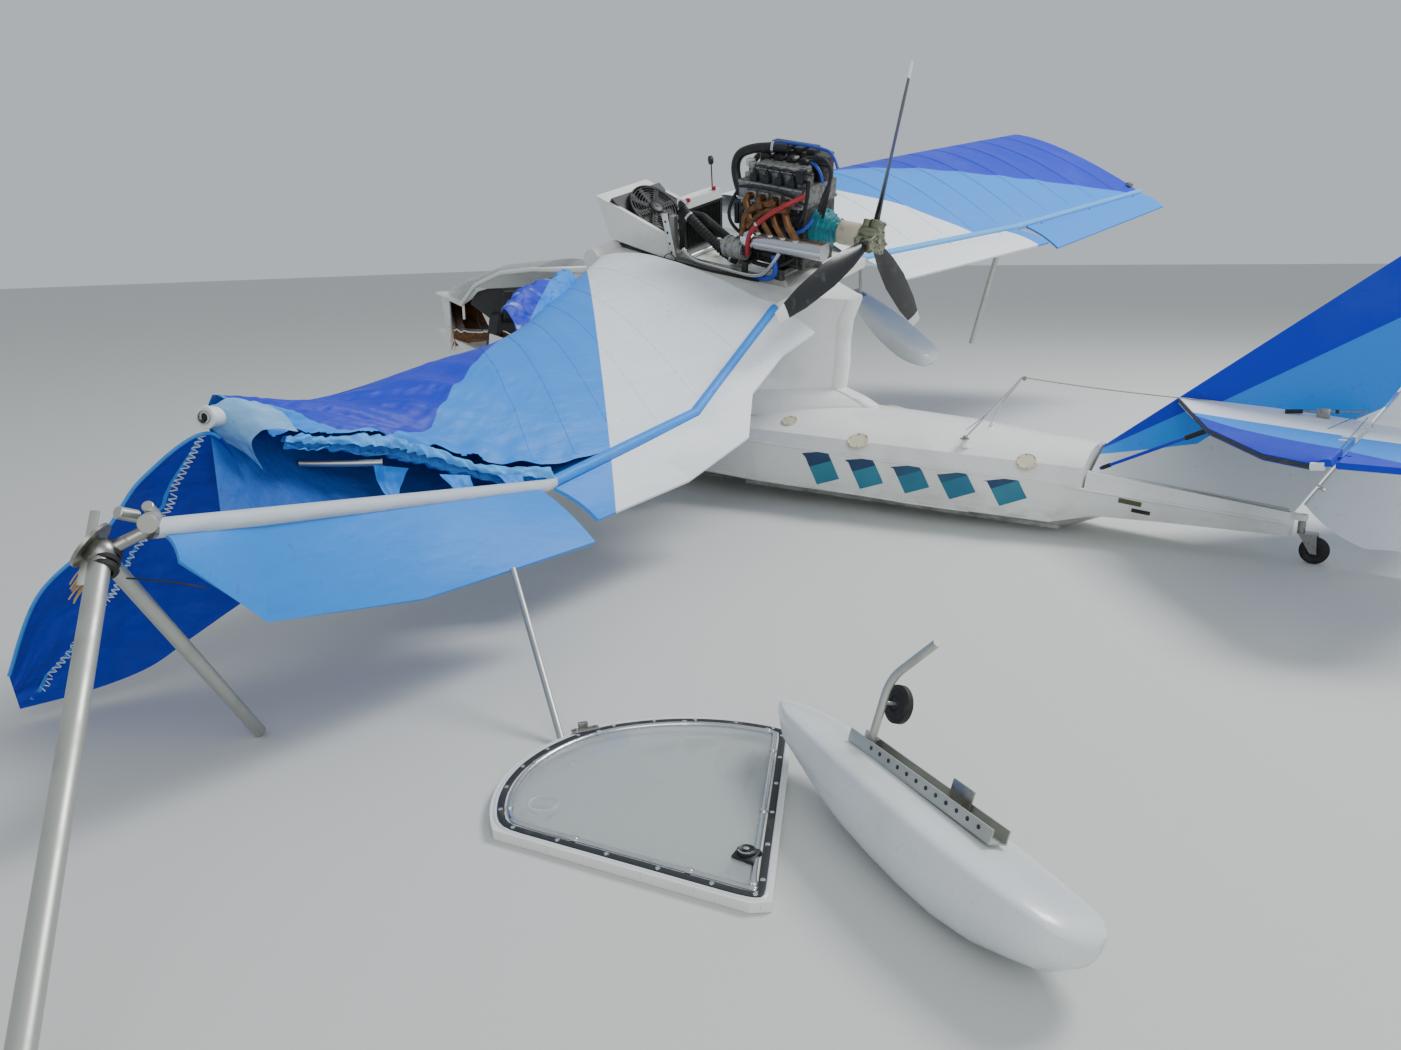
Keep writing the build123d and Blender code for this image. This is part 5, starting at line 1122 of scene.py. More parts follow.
def float_shell(name, nose, tail, deck_up, node):
    """Float as a row of closed frames bridged into one shell."""
    nose, tail = Vector(nose), Vector(tail)
    run = (tail - nose).normalized()
    across = Vector(deck_up).cross(run).normalized()
    rise_dir = run.cross(across)
    mesh = bmesh.new()
    loops = []
    shares = [0.0, 0.006, 0.02, 0.045, 0.08, 0.12, 0.18, 0.25, 0.33, 0.42, 0.52, 0.62, 0.72, 0.81, 0.89, 0.95,
              0.985, 1.0]
    for share in shares:
        i = max(k for k in range(4) if float_stations[k][0] <= share + 1e-9)
        part = (share - float_stations[i][0]) / (float_stations[i + 1][0] - float_stations[i][0])
        row = along_rows([station[1:] for station in float_stations], (i + part) / 4)
        close = 1.0
        if share < float_nose:
            close = sqrt(1 - (1 - min(share + 0.002, float_nose) / float_nose) ** 2)
        if share > float_tail:
            close = sqrt(max(0.02, 1 - ((share - float_tail) / 0.072) ** 2))
        close = max(close, tip_size)
        half, depth, rise = row[0] * close, row[1] * close, row[2]
        centre = nose.lerp(tail, share) + rise_dir * (rise - row[1] * (1 - close) * 0.35)
        made = bmesh.ops.create_circle(mesh, radius=1, segments=40)["verts"]
        for vert in made:
            x, y = vert.co.x, vert.co.y
            reach = half * (abs(x) ** 0.82) * (1 if x > 0 else -1)
            below = 1 - abs(y) ** 0.5 if y > 0 else 1
            keel = 0 if y > 0 else (1 - deck_share) * depth * abs(y) ** 0.9
            height = -deck_share * depth * below - keel
            vert.co = centre + across * reach + rise_dir * height
            vert.co.z = max(vert.co.z, 0.0)
        loops.append(list({edge for vert in made for edge in vert.link_edges}))
    skinned(mesh, loops)
    bmesh.ops.holes_fill(mesh, edges=loops[0])
    bmesh.ops.holes_fill(mesh, edges=loops[-1])
    shown = piece(name, mesh, float_skin, sharp=radians(70))
    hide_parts(node)


float_shell("port_float_shell", (-0.690, 2.975, 0.1784), (-1.770, 3.540, 0.1884), (0.25, -0.45, 0.86),
            "port_float")
float_shell("starboard_float_shell", (1.990, -1.960, 1.120), (1.230, -1.900, 0.640), (-0.5, 0.25, 0.83),
            "starboard_float")
hanger = bmesh.new()
pipe(hanger, [(1.914, -1.954, 1.066), (1.932, -1.955, 1.47), (1.950, -1.956, 1.8824)], 0.013)
block(hanger, (1.915, -1.954, 1.085), (0.76, -0.06, 0.48), (-0.5, 0.25, 0.83), (0.10, 0.06, 0.012))
piece("float_hanger_tube", hanger, alloy_tube)

# Channel on the port float: end lug, bolts, and lightening holes drawn as dark discs of painted shade
float_run = Vector((-0.886042, 0.463531, 0.008204))
float_up = Vector((-0.137386, -0.279434, 0.950285))
float_side = Vector((-0.44278, -0.840866, -0.311273))
channel_from = Vector((-1.02062, 3.14083, 0.200726))
fittings = bmesh.new()
block(fittings, channel_from + float_run * 0.40 + float_up * 0.040 + float_side * 0.016, float_run, float_up,
      (0.075, 0.006, 0.050))
turned(fittings, channel_from + float_run * 0.40 + float_up * 0.050 + float_side * 0.019, float_side,
       collar(0, 0.004, 0.007, 0.011), 20)
bolts(fittings, [channel_from + float_run * reach + float_up * 0.0045
                 for reach in (0.13, 0.25, 0.35, 0.47, 0.53)], float_up, 0.007, 0.008)
turned(fittings, channel_from + float_run * 0.06 + float_up * 0.004, float_up,
       [(0, 0.011), (0, 0.019), (0.030, 0.019), (0.034, 0.015), (0.034, 0.011)], 24)
piece("float_channel_fittings", fittings, steel)
# Lightening holes: dark discs on both faces, painted shade in place of open holes
holes = bmesh.new()
for side in (1, -1):
    for index in range(12):
        turned(holes, channel_from + float_run * (0.10 + index * 0.038) + float_up * 0.020
               + float_side * side * 0.0262, float_side * side, solid((0, 0.0055), (0.0006, 0.0055)), 14)
piece("float_channel_hole_shade", holes, dark_trim_and_hole_shade)

# Wheels: nylon hubs with bolts, and grooves round the tyres
wheels = [    # name, body, centre, axis, radius of the tyre and of the hub, half the hub's width
    ("port_main_hub", "port_main_wheel", (1.6, 0.76, 0.34), port, 0.165, 0.078, 0.045),
    ("starboard_main_hub", "starboard_main_wheel", (1.6, -0.76, 0.34), port, 0.165, 0.078, 0.045),
    ("tail_wheel_hub", "tail_wheel_body", (-1.594, 0, 0.062), port, 0.062, 0.030, 0.019),
    ("float_wheel_hub", "float_wheel_body", (-1.11379, 3.09028, 0.30919), float_side, 0.050, 0.022, 0.013),
]
for name, body, centre, axis, tyre, hub, half in wheels:
    centre, axis = Vector(centre), axis.normalized()
    disc, tread = bmesh.new(), bmesh.new()
    for side in (1, -1):
        out = axis * side
        turned(disc, centre, out, [(half * 0.70, hub * 0.30), (half * 0.92, hub * 0.34),
                                   (half * 0.92, hub * 0.55), (half * 0.76, hub * 0.62),
                                   (half * 0.80, hub * 0.92), (half * 0.98, hub * 0.96),
                                   (half * 0.98, hub * 1.06), (half * 0.70, hub * 1.08)], 36)
        cross = out.orthogonal().normalized()
        spots = [Matrix.Rotation(2 * pi * k / 5, 3, out) @ cross * hub * 0.75 + centre + out * half * 0.76
                 for k in range(5)]
        bolts(disc, spots, out, hub * 0.07, half * 0.10)
    for shift in (-0.45, -0.15, 0.15, 0.45):
        turned(tread, centre + axis * half * shift, axis,
               [(-0.0025, tyre * 0.965), (-0.002, tyre * 0.9985), (0.002, tyre * 0.9985),
                (0.0025, tyre * 0.965)], 48)
    piece(name, disc, wheel_white if "main" in name else black_plastic, body)
    piece(name.replace("hub", "tread"), tread, tyre_rubber, body)

# Seats: separate squab and back cushions, softly filled
for side, label in ((1, "port"), (-1, "starboard")):
    for part, centre, along, size in (
            ("squab", (2.215, side * 0.245, 0.272), (1, 0, 0.045), (0.42, 0.385, 0.105)),
            ("back", (1.905, side * 0.245, 0.525), (-0.235, 0, 1), (0.56, 0.385, 0.100))):
        cushion = bmesh.new()
        block(cushion, centre, along, (0.1, 0, 1) if part == "squab" else (1, 0, 0.2), size, 0)
        bmesh.ops.subdivide_edges(cushion, edges=cushion.edges[:], cuts=7, use_grid_fill=True)
        centre = Vector(centre)
        axes = Vector(along).normalized(), port
        axes += (axes[0].cross(axes[1]).normalized(),)
        for vert in cushion.verts:
            shares = [(vert.co - centre).dot(axis) * 2 / reach for axis, reach in zip(axes, size)]
            bulge = (1 - shares[0] ** 4) * (1 - shares[1] ** 4)
            dip = 0.012 * cos(shares[1] * pi * 1.5) * (1 - abs(shares[0]))
            vert.co += axes[2] * (shares[2] * (0.014 * bulge - 0.020 * (1 - bulge))
                                  + abs(shares[2]) * dip * 0.4)
            vert.co -= (axes[0] * shares[0] * 0.010 * (shares[1] ** 4)
                        + axes[1] * shares[1] * 0.010 * (shares[0] ** 4))
        shown = piece(f"{label}_seat_{part}", cushion, seat_cloth, sharp=radians(85))
        round_off = shown.modifiers.new("rounding", "SUBSURF")
        round_off.levels = round_off.render_levels = 1
        if (label, part) == ("port", "squab"):
            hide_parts("seats")

# Hull: moulded seam lip, knuckle line, inspection covers, plates, plain slanted bars, rods and rigging
seam_line = [(3.30, 0.490, 0.600), (2.50, 0.530, 0.450), (1.60, 0.520, 0.395), (1.20, 0.505, 0.374),
             (0.15, 0.385, 0.316), (-0.45, 0.262, 0.280), (-0.65, 0.232, 0.262), (-1.05, 0.160, 0.228),
             (-1.46, 0.093, 0.195)]
knuckle_line = [(1.58, 0.50, 0.152), (0.90, 0.45, 0.125), (0.40, 0.385, 0.100), (-0.05, 0.32, 0.075)]
lips = bmesh.new()
for side in (1, -1):
    for route, girth in ((seam_line, 0.0075), (knuckle_line, 0.0045)):
        pipe(lips, traced("hull_shell", sided(route, side), 8), girth)
piece("hull_lips", lips, hull_skin)

covers, cover_screws = bmesh.new(), bmesh.new()
for point, size in (((0.55, 0.45, 0.49), 0.060), ((0.67, -0.28, 0.56), 0.060), ((-0.35, 0.35, 0.44), 0.052),
                    ((1.02, 0.40, 0.56), 0.048), ((-0.30, -0.28, 0.46), 0.052)):
    place, normal = on_skin("aft_deck_pylon", Vector(point))
    turned(covers, place - normal * 0.002, normal, solid((0, size), (0.006, size), (0.009, size - 0.005),
                                                         (0.007, size - 0.012), (0.009, 0.02)), 40)
    cross = normal.orthogonal().normalized()
    bolts(cover_screws, [place + Matrix.Rotation(2 * pi * k / 6, 3, normal) @ cross * (size - 0.008)
                         + normal * 0.005 for k in range(6)], normal, 0.0035, 0.0035)
piece("inspection_covers", covers, beige_plate)
piece("cover_screws", cover_screws, steel)

bars_navy, bars_teal = bmesh.new(), bmesh.new()
bar_width, bar_gap = 0.150, 0.0014
for index in range(5):
    x = 0.76 - 0.262 * index
    edge = 0.316 + (x - 0.15) * 0.060
    top, foot = Vector((x + 0.035, 0.60, edge - 0.004)), Vector((x - 0.040, 0.60, 0.105 + 0.02 * (x + 0.3)))
    middle = top.lerp(foot, 0.50)
    strip(bars_navy, "hull_shell", [top, middle], bar_width, bar_gap)
    strip(bars_teal, "hull_shell", [middle, foot], bar_width, bar_gap)
patch("side_bars_upper", bars_navy, navy_film, 0.0006)
patch("side_bars_lower", bars_teal, teal_film, 0.0006)
plate, label = bmesh.new(), bmesh.new()
strip(plate, "hull_shell", [(-0.774, 0.22, 0.222), (-0.879, 0.22, 0.200)], 0.026, 0.0016)
patch("blank_plate", plate, olive_plate, 0.002)
strip(label, "hull_shell", [(-0.835, 0.22, 0.166), (-0.921, 0.22, 0.148)], 0.022)
patch("blank_label", label, dark_trim_and_hole_shade, 0.0008)

mast_top = Vector((-0.280, 0.250, 0.796))
rigging = bmesh.new()
pipe(rigging, [mast_top, (-0.70, 0.13, 0.735), (-1.120, 0.018, 0.712)], 0.0028)
pipe(rigging, [(-0.09, 0.04, 0.632), mast_top.lerp(Vector((-0.09, 0.04, 0.632)), 0.5) - up * 0.006, mast_top],
     0.0022)
pipe(rigging, [mast_top, (-0.16, 0.235, 0.64), (0.03, 0.20, 0.50)], 0.0022)
piece("rigging", rigging, steel)
rod = bmesh.new()
turned(rod, mast_top - up * 0.012, (-0.4, -0.06, 0.5),
       [(0, 0.0055), (0, 0.009), (0.016, 0.009), (0.020, 0.006), (0.020, 0)], 16)
turned(rod, (-0.004, 0.290, 0.468), up, solid((-0.002, 0.024), (0.003, 0.024), (0.006, 0.010),
                                              (0.016, 0.009)), 24)
piece("mast_fittings", rod, steel)

# Tail: stabiliser edges piped dark, braces with black grips, hinge fittings, push rods
stab_edge = [(-0.960, 0.03, 0.704), (-1.192, 0.45, 0.640), (-1.477, 0.80, 0.615), (-1.695, 1.05, 0.640)]
rod_ends = (-1.425, 0.11, 0.700), (-1.735, 0.10, 0.722)         # push rod on the port side
brace_ends = (-0.672, 0.196, 0.372), (-1.190, 0.400, 0.640)     # brace under the port stabiliser
piping, pale_edge = bmesh.new(), bmesh.new()
for side in (1, -1):
    pipe(piping, traced("stabilisers", sided(stab_edge, side), 6), 0.009)
    pipe(pale_edge, [(-1.680, side * 1.045, 0.641), (-1.724, side * 1.050, 0.647)], 0.016)
    for inner in (0.16, 0.55):
        for step in (-0.04, 0.04):
            block(pale_edge, (-1.718, side * (inner + step), 0.672), forward, up, (0.036, 0.020, 0.006))
piece("stabiliser_piping", piping, tape_dark)
piece("stabiliser_fittings", pale_edge, white_tube)

grips = bmesh.new()
for side in (1, -1):
    low, high = sided(brace_ends, side)
    run = (high - low).normalized()
    turned(grips, low.lerp(high, 0.80), run, collar(0, 0.105, 0.008, 0.0115), 20)
    turned(grips, low.lerp(high, 0.02), run, collar(0, 0.050, 0.008, 0.0105), 20)
    rod_from, rod_to = sided(rod_ends, side)
    pipe(grips, [rod_from, rod_from.lerp(rod_to, 0.22)], 0.0095)
    pipe(grips, [rod_from.lerp(rod_to, 0.62), rod_from.lerp(rod_to, 0.66)], 0.0085)
piece("rod_grips", grips, rubber)
linkage = bmesh.new()
for side in (1, -1):
    rod_from, rod_to = sided(rod_ends, side)
    pipe(linkage, [rod_from, rod_to], 0.0045)
    block(linkage, (-1.573, side * 0.11, 0.695), forward, port, (0.052, 0.060, 0.005), 0.002)
    bolts(linkage, [(-1.560, side * 0.1125, 0.710), (-1.586, side * 0.1125, 0.688)], port * side, 0.006,
          0.006)
    for low, high in (((-1.735, side * 0.10, 0.722), (-1.60, side * 0.40, 0.662)),
                      ((-1.740, side * 0.12, 0.700), (-1.735, side * 0.95, 0.668))):
        pipe(linkage, [low, high], 0.002)
piece("elevator_linkage", linkage, steel)
trim, foot_lip = bmesh.new(), bmesh.new()
for side in (1, -1):
    pipe(trim, traced("fin_fairing", sided(((-0.618, 0.180, 0.352), (-0.622, 0.016, 0.452)), side), 8), 0.006)
    marks = [(-0.63 - 0.85 * k / 14, side * (0.190 - 0.128 * k / 14), 0.352 - 0.1 * k / 14)
             for k in range(15)]
    pipe(foot_lip, [on_skin("fin_fairing", Vector(mark))[0] for mark in marks], 0.0045)
piece("fairing_trim", trim, tape_dark)
piece("fairing_foot_lip", foot_lip, alloy_tube)

# Engine extras: swept headers, bright pipe run along the rails, cam cover, filler cap, header-tank caps
swept = bmesh.new()
for t, points in ((0.268, [(0.377, 0.150), (0.482, 0.142), (0.575, 0.096), (0.644, 0.018)]),
                  (0.252, [(0.460, 0.165), (0.560, 0.155), (0.640, 0.105), (0.668, 0.030)]),
                  (0.262, [(0.543, 0.148), (0.624, 0.123), (0.672, 0.077), (0.678, 0.021), (0.690, -0.04)])):
    hose(swept, [(s, t, h) for s, h in points], 0.019, 5)
piece("swept_headers", swept, header_steel)
bright = bmesh.new()
hose(bright, [(s, 0.232, h) for s, h in ((1.163, -0.215), (1.103, -0.268), (0.936, -0.274), (0.788, -0.276),
                                         (0.601, -0.276), (0.512, -0.205), (0.452, -0.103))], 0.013, 4)
hose(bright, [(s, 0.236, h) for s, h in ((0.575, -0.085), (0.494, -0.038), (0.399, -0.031), (0.306, -0.047),
                                         (0.216, -0.052))], 0.020, 5)
turned(bright, at(0.66, 0.215, -0.055), abeam, solid((0, 0.040), (0.015, 0.052), (0.040, 0.054),
                                                     (0.056, 0.040), (0.060, 0.018)), 36)
for s, h in ((0.60, -0.05), (0.44, -0.035), (0.30, -0.048)):
    turned(bright, at(s, 0.236, h), shaft, collar(0, 0.010, 0.018, 0.028), 24)
piece("bright_pipes", bright, chrome)
cover = bmesh.new()
crate(cover, (0.545, 0.050, 0.322), (0.310, 0.150, 0.022), 0.006)
for index in range(5):
    crate(cover, (0.545, 0.000 + index * 0.026, 0.335), (0.290, 0.006, 0.006), 0.001)
piece("cam_cover_plate", cover, cast_light)
filler, caps = bmesh.new(), bmesh.new()
turned(filler, at(0.765, 0.085, 0.300), lift, solid((0, 0.026), (0.034, 0.026), (0.038, 0.020)), 24)
piece("oil_filler_cap", filler, beige_plate)
for s, t, h in ((1.180, 0.150, 0.045), (1.185, -0.100, 0.060)):
    turned(caps, at(s, t, h), lift, solid((0, 0.014), (0.018, 0.014), (0.020, 0.010)), 18)
piece("tank_caps", caps, red_rubber)

# Cabin front: black hood over the panel, hanging wire, torn laminate with its pale edge and loose fibres
hood = bmesh.new()
profile = [(3.812, 1.084), (3.770, 1.135), (3.719, 1.172), (3.620, 1.192), (3.500, 1.196), (3.440, 1.180),
           (3.440, 0.985), (3.499, 0.931)]
face = hood.faces.new([hood.verts.new((x, -0.315, z)) for x, z in profile])
grown = bmesh.ops.extrude_face_region(hood, geom=[face])
bmesh.ops.translate(hood, verts=[v for v in grown["geom"] if isinstance(v, bmesh.types.BMVert)],
                    vec=(0, 0.63, 0))
bmesh.ops.recalc_face_normals(hood, faces=hood.faces)
bmesh.ops.bevel(hood, geom=hood.edges[:], offset=0.012, segments=3, profile=0.5, affect="EDGES", material=-1)
piece("panel_hood", hood, black_plastic)
hanging = bmesh.new()
pipe(hanging, [(3.872, 0.20, 1.055), (3.850, 0.215, 1.00), (3.816, 0.25, 0.955), (3.707, 0.30, 0.898)],
     0.0035)
pipe(hanging, [(3.470, 0.30, 0.960), (3.520, 0.33, 0.90), (3.600, 0.30, 0.870), (3.640, 0.28, 0.885)],
     0.0045)
piece("hanging_wires", hanging, rubber)
torn_top = [(4.010, 0.892), (3.900, 0.884), (3.722, 0.884), (3.610, 0.897), (3.502, 0.909), (3.380, 0.880)]
torn_low = [(3.990, 0.777), (3.900, 0.795), (3.800, 0.813), (3.650, 0.830), (3.507, 0.851), (3.380, 0.800)]


def torn_place(u, v):
    """Broken side of the bow: from its ragged top edge down."""
    x_high, z_high = along_rows(torn_top, v)
    x_low, z_low = along_rows(torn_low, v)
    point = Vector((x_high, 0.315, z_high)).lerp(Vector((x_low, 0.325, z_low)), u)
    rag = ripple(Vector((v * 16, 0, 0)), 1.0, 3.0) * (1 - u)
    return point + Vector((0, 0.006 * rag + 0.010 * ripple(Vector((v * 7, u * 3, 0)), 1.0, 1.0), 0.016 * rag))


cloth("torn_bow_laminate", torn_place, 10, 90, laminate, thick=0.004)
lip = bmesh.new()
pipe(lip, [torn_place(0.0, k / 40) + up * 0.002 for k in range(41)], 0.0045)
block(lip, (3.900, 0.300, 1.024), up, port, (0.105, 0.024, 0.004), 0.001)
piece("torn_bow_lip", lip, deck_skin)
strands = bmesh.new()
for index in range(22):
    root = Vector((4.018 - 0.02 * (index % 3), 0.312, 0.895 - 0.004 * index))
    lean = Vector((0.050 + 0.03 * ripple(root * 9, 1.0, index), 0.03 * ripple(root * 7, 1.0, index + 5),
                   0.020 - 0.005 * index))
    pipe(strands, [root, root + lean * 0.6 + up * 0.006, root + lean], 0.0016, 1)
piece("loose_fibres", strands, fibre)


# Wings: tapes on the cloth over the ribs, crumpled leading edge, torn flaps, broken tube, spar end, lacing

def band_on(mesh, place, route, width, lift_off):
    """Tape on a cloth: place(u, v) gives its surface and route is a row of (u, v)."""
    rows, step = [], 0.004
    for i, (u, v) in enumerate(route):
        spot = place(u, v)
        run = (place(*route[min(i + 1, len(route) - 1)]) - place(*route[max(i - 1, 0)])).normalized()
        across = place(u + step, v) - place(u - step, v)
        over = across.cross(place(u, v + step) - place(u, v - step)).normalized()
        if over.z < 0:
            over.negate()
        side = over.cross(run).normalized() * width / 2
        rows.append([mesh.verts.new(spot - side + over * lift_off),
                     mesh.verts.new(spot + side + over * lift_off)])
    ribbon(mesh, rows)


tapes = bmesh.new()
for index in range(1, star_ribs):
    band_on(tapes, star_place, [(0.45 - 0.43 * k / 30, index / star_ribs) for k in range(31)], 0.026, 0.0014)
patch("starboard_rib_tapes", tapes, star_cloth, 0.0012)
tapes = bmesh.new()
for v in (0.08, 0.16, 0.24, 0.32, 0.40, 0.48):
    band_on(tapes, upper_place, [(0.02 + 0.96 * k / 40, v + 0.02 * k / 40) for k in range(41)], 0.024, 0.0014)
patch("port_rib_tapes", tapes, port_cloth, 0.0012)

crumple_line = vectors((2.130, 0.960, 1.275), (2.050, 1.10, 1.265), (2.000, 1.22, 1.235),
                       (1.960, 1.36, 1.225), (1.900, 1.50, 1.185), (1.850, 1.64, 1.150), (1.78, 1.76, 1.10))


def crumple_place(u, v):
    """Crushed skin that stands up along the leading edge: folded over itself twice."""
    fold = sin(u * 2.2 * pi) * 0.030 + 0.028 * ripple(Vector((v * 7, u * 2.5, 0)), 1.0, 2.0)
    crush = 0.020 * ripple(Vector((v * 19 + u * 3, u * 6, 1)), 1.0, 7.0)
    rise = 0.045 - 0.175 * u * u + fold + crush
    return on_line(crumple_line, v) + Vector((0.05 - 0.17 * u + crush, -0.02 * u + crush * 0.5, rise))


crumple_cloth = sailcloth("sailcloth crushed", dark_blue,
                          [(light_blue, (-0.72, -0.60, -0.35), (2.02, 1.30, 1.16))], crease=0.004)
crumple_cloth.paint("DDE8F0", crumple_cloth.both(crumple_cloth.patches(0.10, 0.62, 0.74, (2.5, 0.5, 1.0)),
                                                 0.45))
crumple, crumple_area = cloth("port_leading_edge_crumple", crumple_place, 34, 90, crumple_cloth)

flaps = [    # corner, across, down, curl
    ((0.800, 2.86, 0.640), (0.035, 0.115, 0.02), (-0.035, 0.01, -0.105), 0.03),
    ((0.900, 3.060, 0.690), (0.03, 0.125, 0.03), (-0.055, 0.03, -0.120), -0.03),
    ((0.760, 2.640, 0.610), (0.03, 0.10, 0.01), (-0.045, 0.02, -0.075), 0.02),
]
for index, (*edges, curl) in enumerate(flaps):
    corner, over, down = vectors(*edges)

    def flap_place(u, v, corner=corner, over=over, down=down, curl=curl, index=index):
        """Torn tongue of cloth."""
        point = corner + over * (0.5 + (v - 0.5) * (1 - 0.75 * u)) + down * u * (1.25 - 0.5 * abs(v - 0.4))
        return point + Vector((-1, 0.1, 0.2)) * (curl * sin(u * 2.6)
                                                 + 0.010 * ripple(Vector((u * 4, v * 5, index)), 1.0, 3.0))

    flap, flap_area = cloth(f"port_torn_flap_{index + 1}", flap_place, 12, 12, aileron_cloth)
broken = bmesh.new()
pipe(broken, [(1.12, 3.36, 0.735), (1.06, 3.26, 0.722), (0.965, 3.13, 0.715)], 0.013)
turned(broken, (0.965, 3.13, 0.715), (-0.6, -0.8, -0.05), collar(0, 0.006, 0.008, 0.015), 18)
piece("broken_rib_tube", broken, alloy_tube)

spar_axis = Vector((-0.366, 0.928, 0.068)).normalized()
spar_tip = Vector((0.938, 3.762, 0.968))
sleeve = bmesh.new()
turned(sleeve, spar_tip - spar_axis * 0.20, spar_axis,
       [(0, 0.0255), (0, 0.033), (0.186, 0.033), (0.190, 0.037), (0.200, 0.037), (0.203, 0.033),
        (0.203, 0.014), (0.196, 0.014)], 36)
piece("spar_end_sleeve", sleeve, white_tube)
plug = bmesh.new()
turned(plug, spar_tip - spar_axis * 0.004, spar_axis, solid((0, 0.015), (0.002, 0.015)), 24)
block(plug, spar_tip + spar_axis * 0.004 + Vector((0, 0, -0.010)), spar_axis, up, (0.02, 0.012, 0.012), 0.003)
piece("spar_end_plug", plug, black_plastic)

bag = surface(tip_bag)
toward_rear = Vector((-0.9, 0.3, 0.1))
stitches = bmesh.new()
for seam in ([(0.955, 3.766, 0.906), (1.087, 3.853, 0.622), (1.126, 3.902, 0.551)],
             [(1.126, 3.902, 0.551), (1.238, 4.031, 0.339), (1.298, 4.10, 0.227), (1.370, 4.20, 0.10)]):
    marks = vectors(*seam)
    for start, end in zip(marks[:-1], marks[1:]):
        count = int((end - start).length / 0.011)
        for k in range(count):
            place, over = on_skin(bag, start.lerp(end, (k + 0.5) / count), toward_rear)
            run = (end - start).normalized()
            cross = over.cross(run).normalized()
            aim = run * 0.35 + cross * (1 if k % 2 else -1)
            block(stitches, place + over * 0.003, aim, over, (0.024, 0.0028, 0.0028), 0)
piece("tip_lacing", stitches, tape_white)
hems = bmesh.new()
strip(hems, bag, [(0.955, 3.766, 0.906), (1.126, 3.902, 0.551), (1.298, 4.10, 0.227), (1.385, 4.23, 0.075)],
      0.012, 0.0014, toward_rear)
patch("tip_seam_tape", hems, tape_blue, 0.001)
edge_cord = bmesh.new()
pipe(edge_cord, [tip_place(0.0, 0.30 + 0.70 * k / 40) for k in range(41)], 0.006)
piece("tip_edge_piping", edge_cord, tape_blue)

folded_line = vectors((0.930, 3.600, 0.985), (0.940, 3.700, 1.000), (0.965, 3.745, 0.960),
                      (1.000, 3.70, 0.86))


def folded_place(u, v):
    """Pale skin folded round the wing's nose by the spar's end."""
    drop = Vector((-0.07 * u, -0.10 * u, 0.012 - 0.10 * u * u))
    wave = ripple(Vector((v * 6, u * 4, 0)), 1.0, 4.0)
    return Vector(along_rows(folded_line, v)) + drop + up * 0.010 * wave


folded, folded_area = cloth("port_folded_skin", folded_place, 16, 30,
                            sailcloth("sailcloth pale fold", "7FB4DE", crease=0.003))

# Strut bracket: black rings round the strut's head, cut tube ends, frayed straps, cut cable
strut_head = Vector((0.307, 4.300, 0.800))
strut_down = (Vector((-0.668, 5.067, 0.0)) - strut_head).normalized()
rings = bmesh.new()
for index in range(4):
    turned(rings, strut_head + Vector((0.032, 0.026, 0)) + strut_down * (0.030 + index * 0.021), strut_down,
           [(-0.008, 0.022), (-0.007, 0.031), (0.0, 0.034), (0.007, 0.031), (0.008, 0.022)], 28)
piece("strut_rings", rings, rubber)
ends = bmesh.new()
for place, aim, size in (((0.262, 4.268, 0.838), (-0.75, 0.60, 0.05), 0.024),
                         ((0.335, 4.300, 0.862), (-0.2, 0.9, 0.4), 0.016),
                         ((0.300, 4.245, 0.872), (-0.5, 0.5, 0.6), 0.014)):
    turned(ends, place, aim, [(-0.05, size - 0.003), (-0.05, size), (0, size), (0.002, size - 0.002),
                              (0.002, 0)], 26)
block(ends, strut_head + Vector((0.045, 0.070, -0.010)), strut_down + Vector((0.1, 0, -0.25)), (-0.8, 0.6, 0),
      (0.20, 0.022, 0.006), 0.002)
piece("strut_head_tubes", ends, alloy_tube)
straps = bmesh.new()
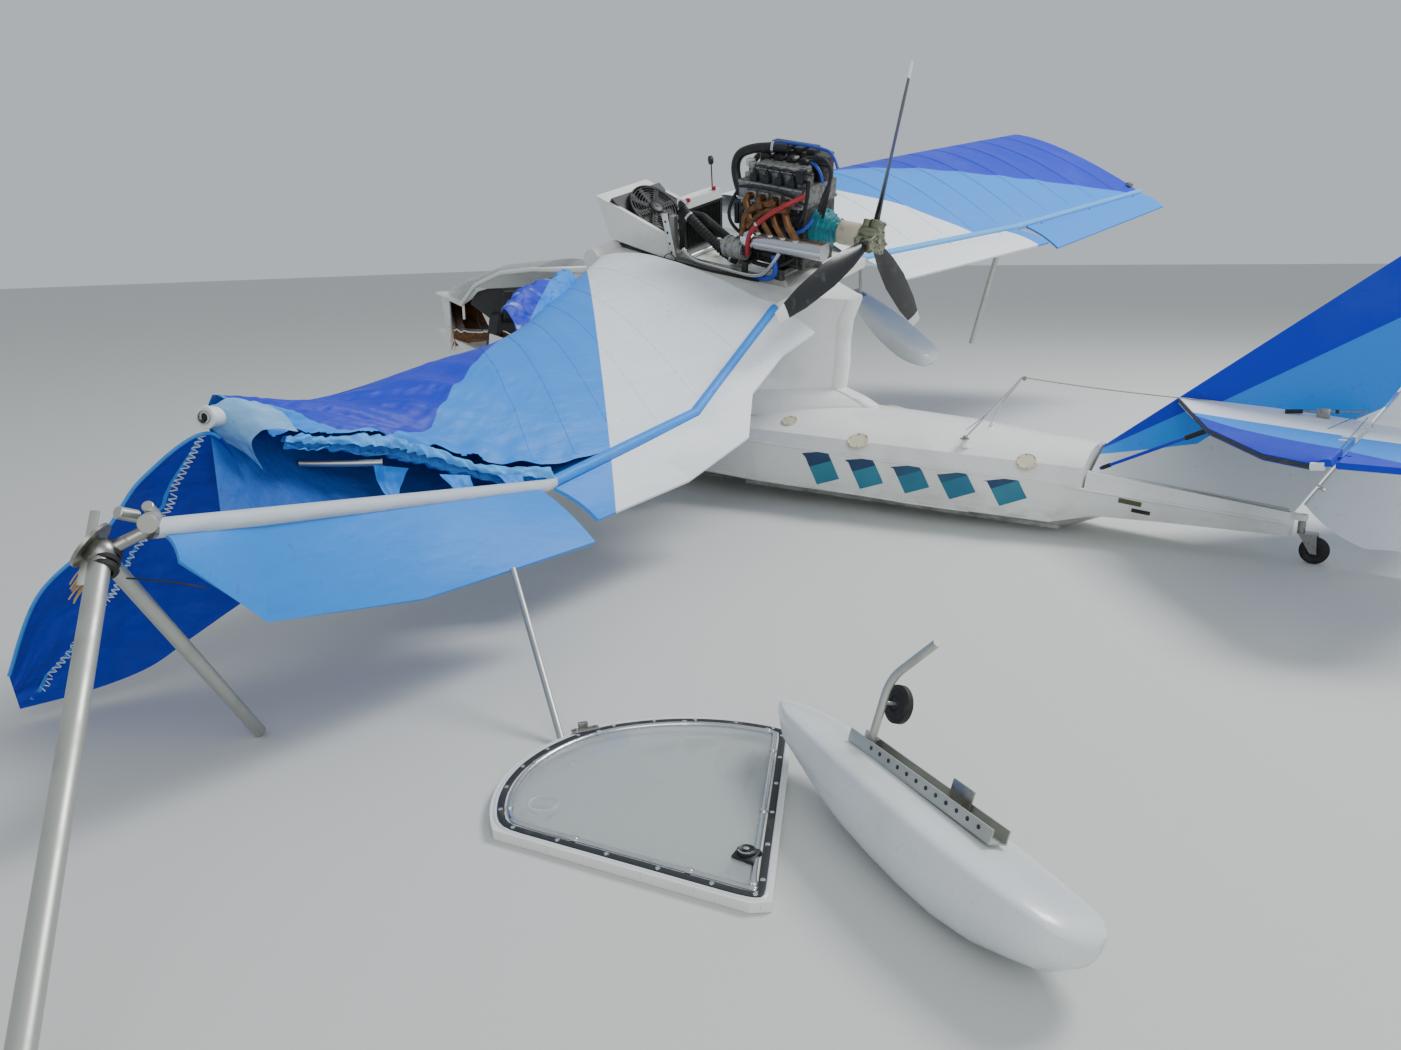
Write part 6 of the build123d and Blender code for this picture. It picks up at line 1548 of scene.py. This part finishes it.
for index in range(9):
    root = strut_head + Vector((0.055, 0.060, -0.045 - 0.006 * index))
    bend = Vector((0.02 + 0.01 * ripple(root * 20, 1.0, index), 0.03,
                   -0.02 + 0.012 * ripple(root * 30, 1.0, index)))
    end = Vector((0.035, 0.045 + 0.02 * ripple(root * 17, 1.0, index), -0.055))
    pipe(straps, [root, root + bend, root + end], 0.0022, 1)
piece("frayed_straps", straps, fibre)
dangling = bmesh.new()
pipe(dangling, [strut_head + Vector((-0.01, 0.02, -0.09)), (0.23, 4.25, 0.70), (0.18, 4.19, 0.672)],
     0.0022)
piece("cut_cable", dangling, rubber)

# Starboard wing's outer corner fitting
fitting = bmesh.new()
block(fitting, (0.760, -4.560, 1.905), (-0.13, -0.98, 0.14), up, (0.07, 0.05, 0.022), 0.004)
bolts(fitting, [(0.750, -4.545, 1.916), (0.775, -4.560, 1.916)], up, 0.009, 0.012)
piece("wing_fittings", fitting, steel)

# Floor and studio light: plain, pale and soft, as under a bright overcast sky
paper = Finish("pale floor", "C9CBC8", 0.9)
ground = bmesh.new()
bmesh.ops.create_grid(ground, x_segments=1, y_segments=1, size=60, matrix=Matrix.Translation((0, 0, -0.001)))
floor_data = bpy.data.meshes.new("floor")
ground.to_mesh(floor_data)
ground.free()
floor_data.materials.append(paper.material)
floor = bpy.data.objects.new("floor", floor_data)
bpy.context.scene.collection.objects.link(floor)
floor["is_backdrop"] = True

sky = bpy.data.worlds.new("studio")
bpy.context.scene.world = sky
sky.use_nodes = True
sky.node_tree.nodes["Background"].inputs["Color"].default_value = tone("DCE3EA")
sky.node_tree.nodes["Background"].inputs["Strength"].default_value = 0.75
for name, place, aim, size, power in (
    ("key", Vector((-3.5, -4.5, 9.0)), Vector((0.6, 0.5, 0.6)), 4.0, 1150),
    ("fill", Vector((-6.0, 7.5, 4.5)), Vector((0.5, 1.0, 0.7)), 6.0, 260),
):
    lamp = bpy.data.lights.new(name, "AREA")
    lamp.size = size
    lamp.energy = power
    holder = bpy.data.objects.new(name, lamp)
    holder.matrix_world = Matrix.Translation(place) @ (aim - place).to_track_quat("-Z",
                                                                                  "Y").to_matrix().to_4x4()
    bpy.context.scene.collection.objects.link(holder)

low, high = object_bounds()
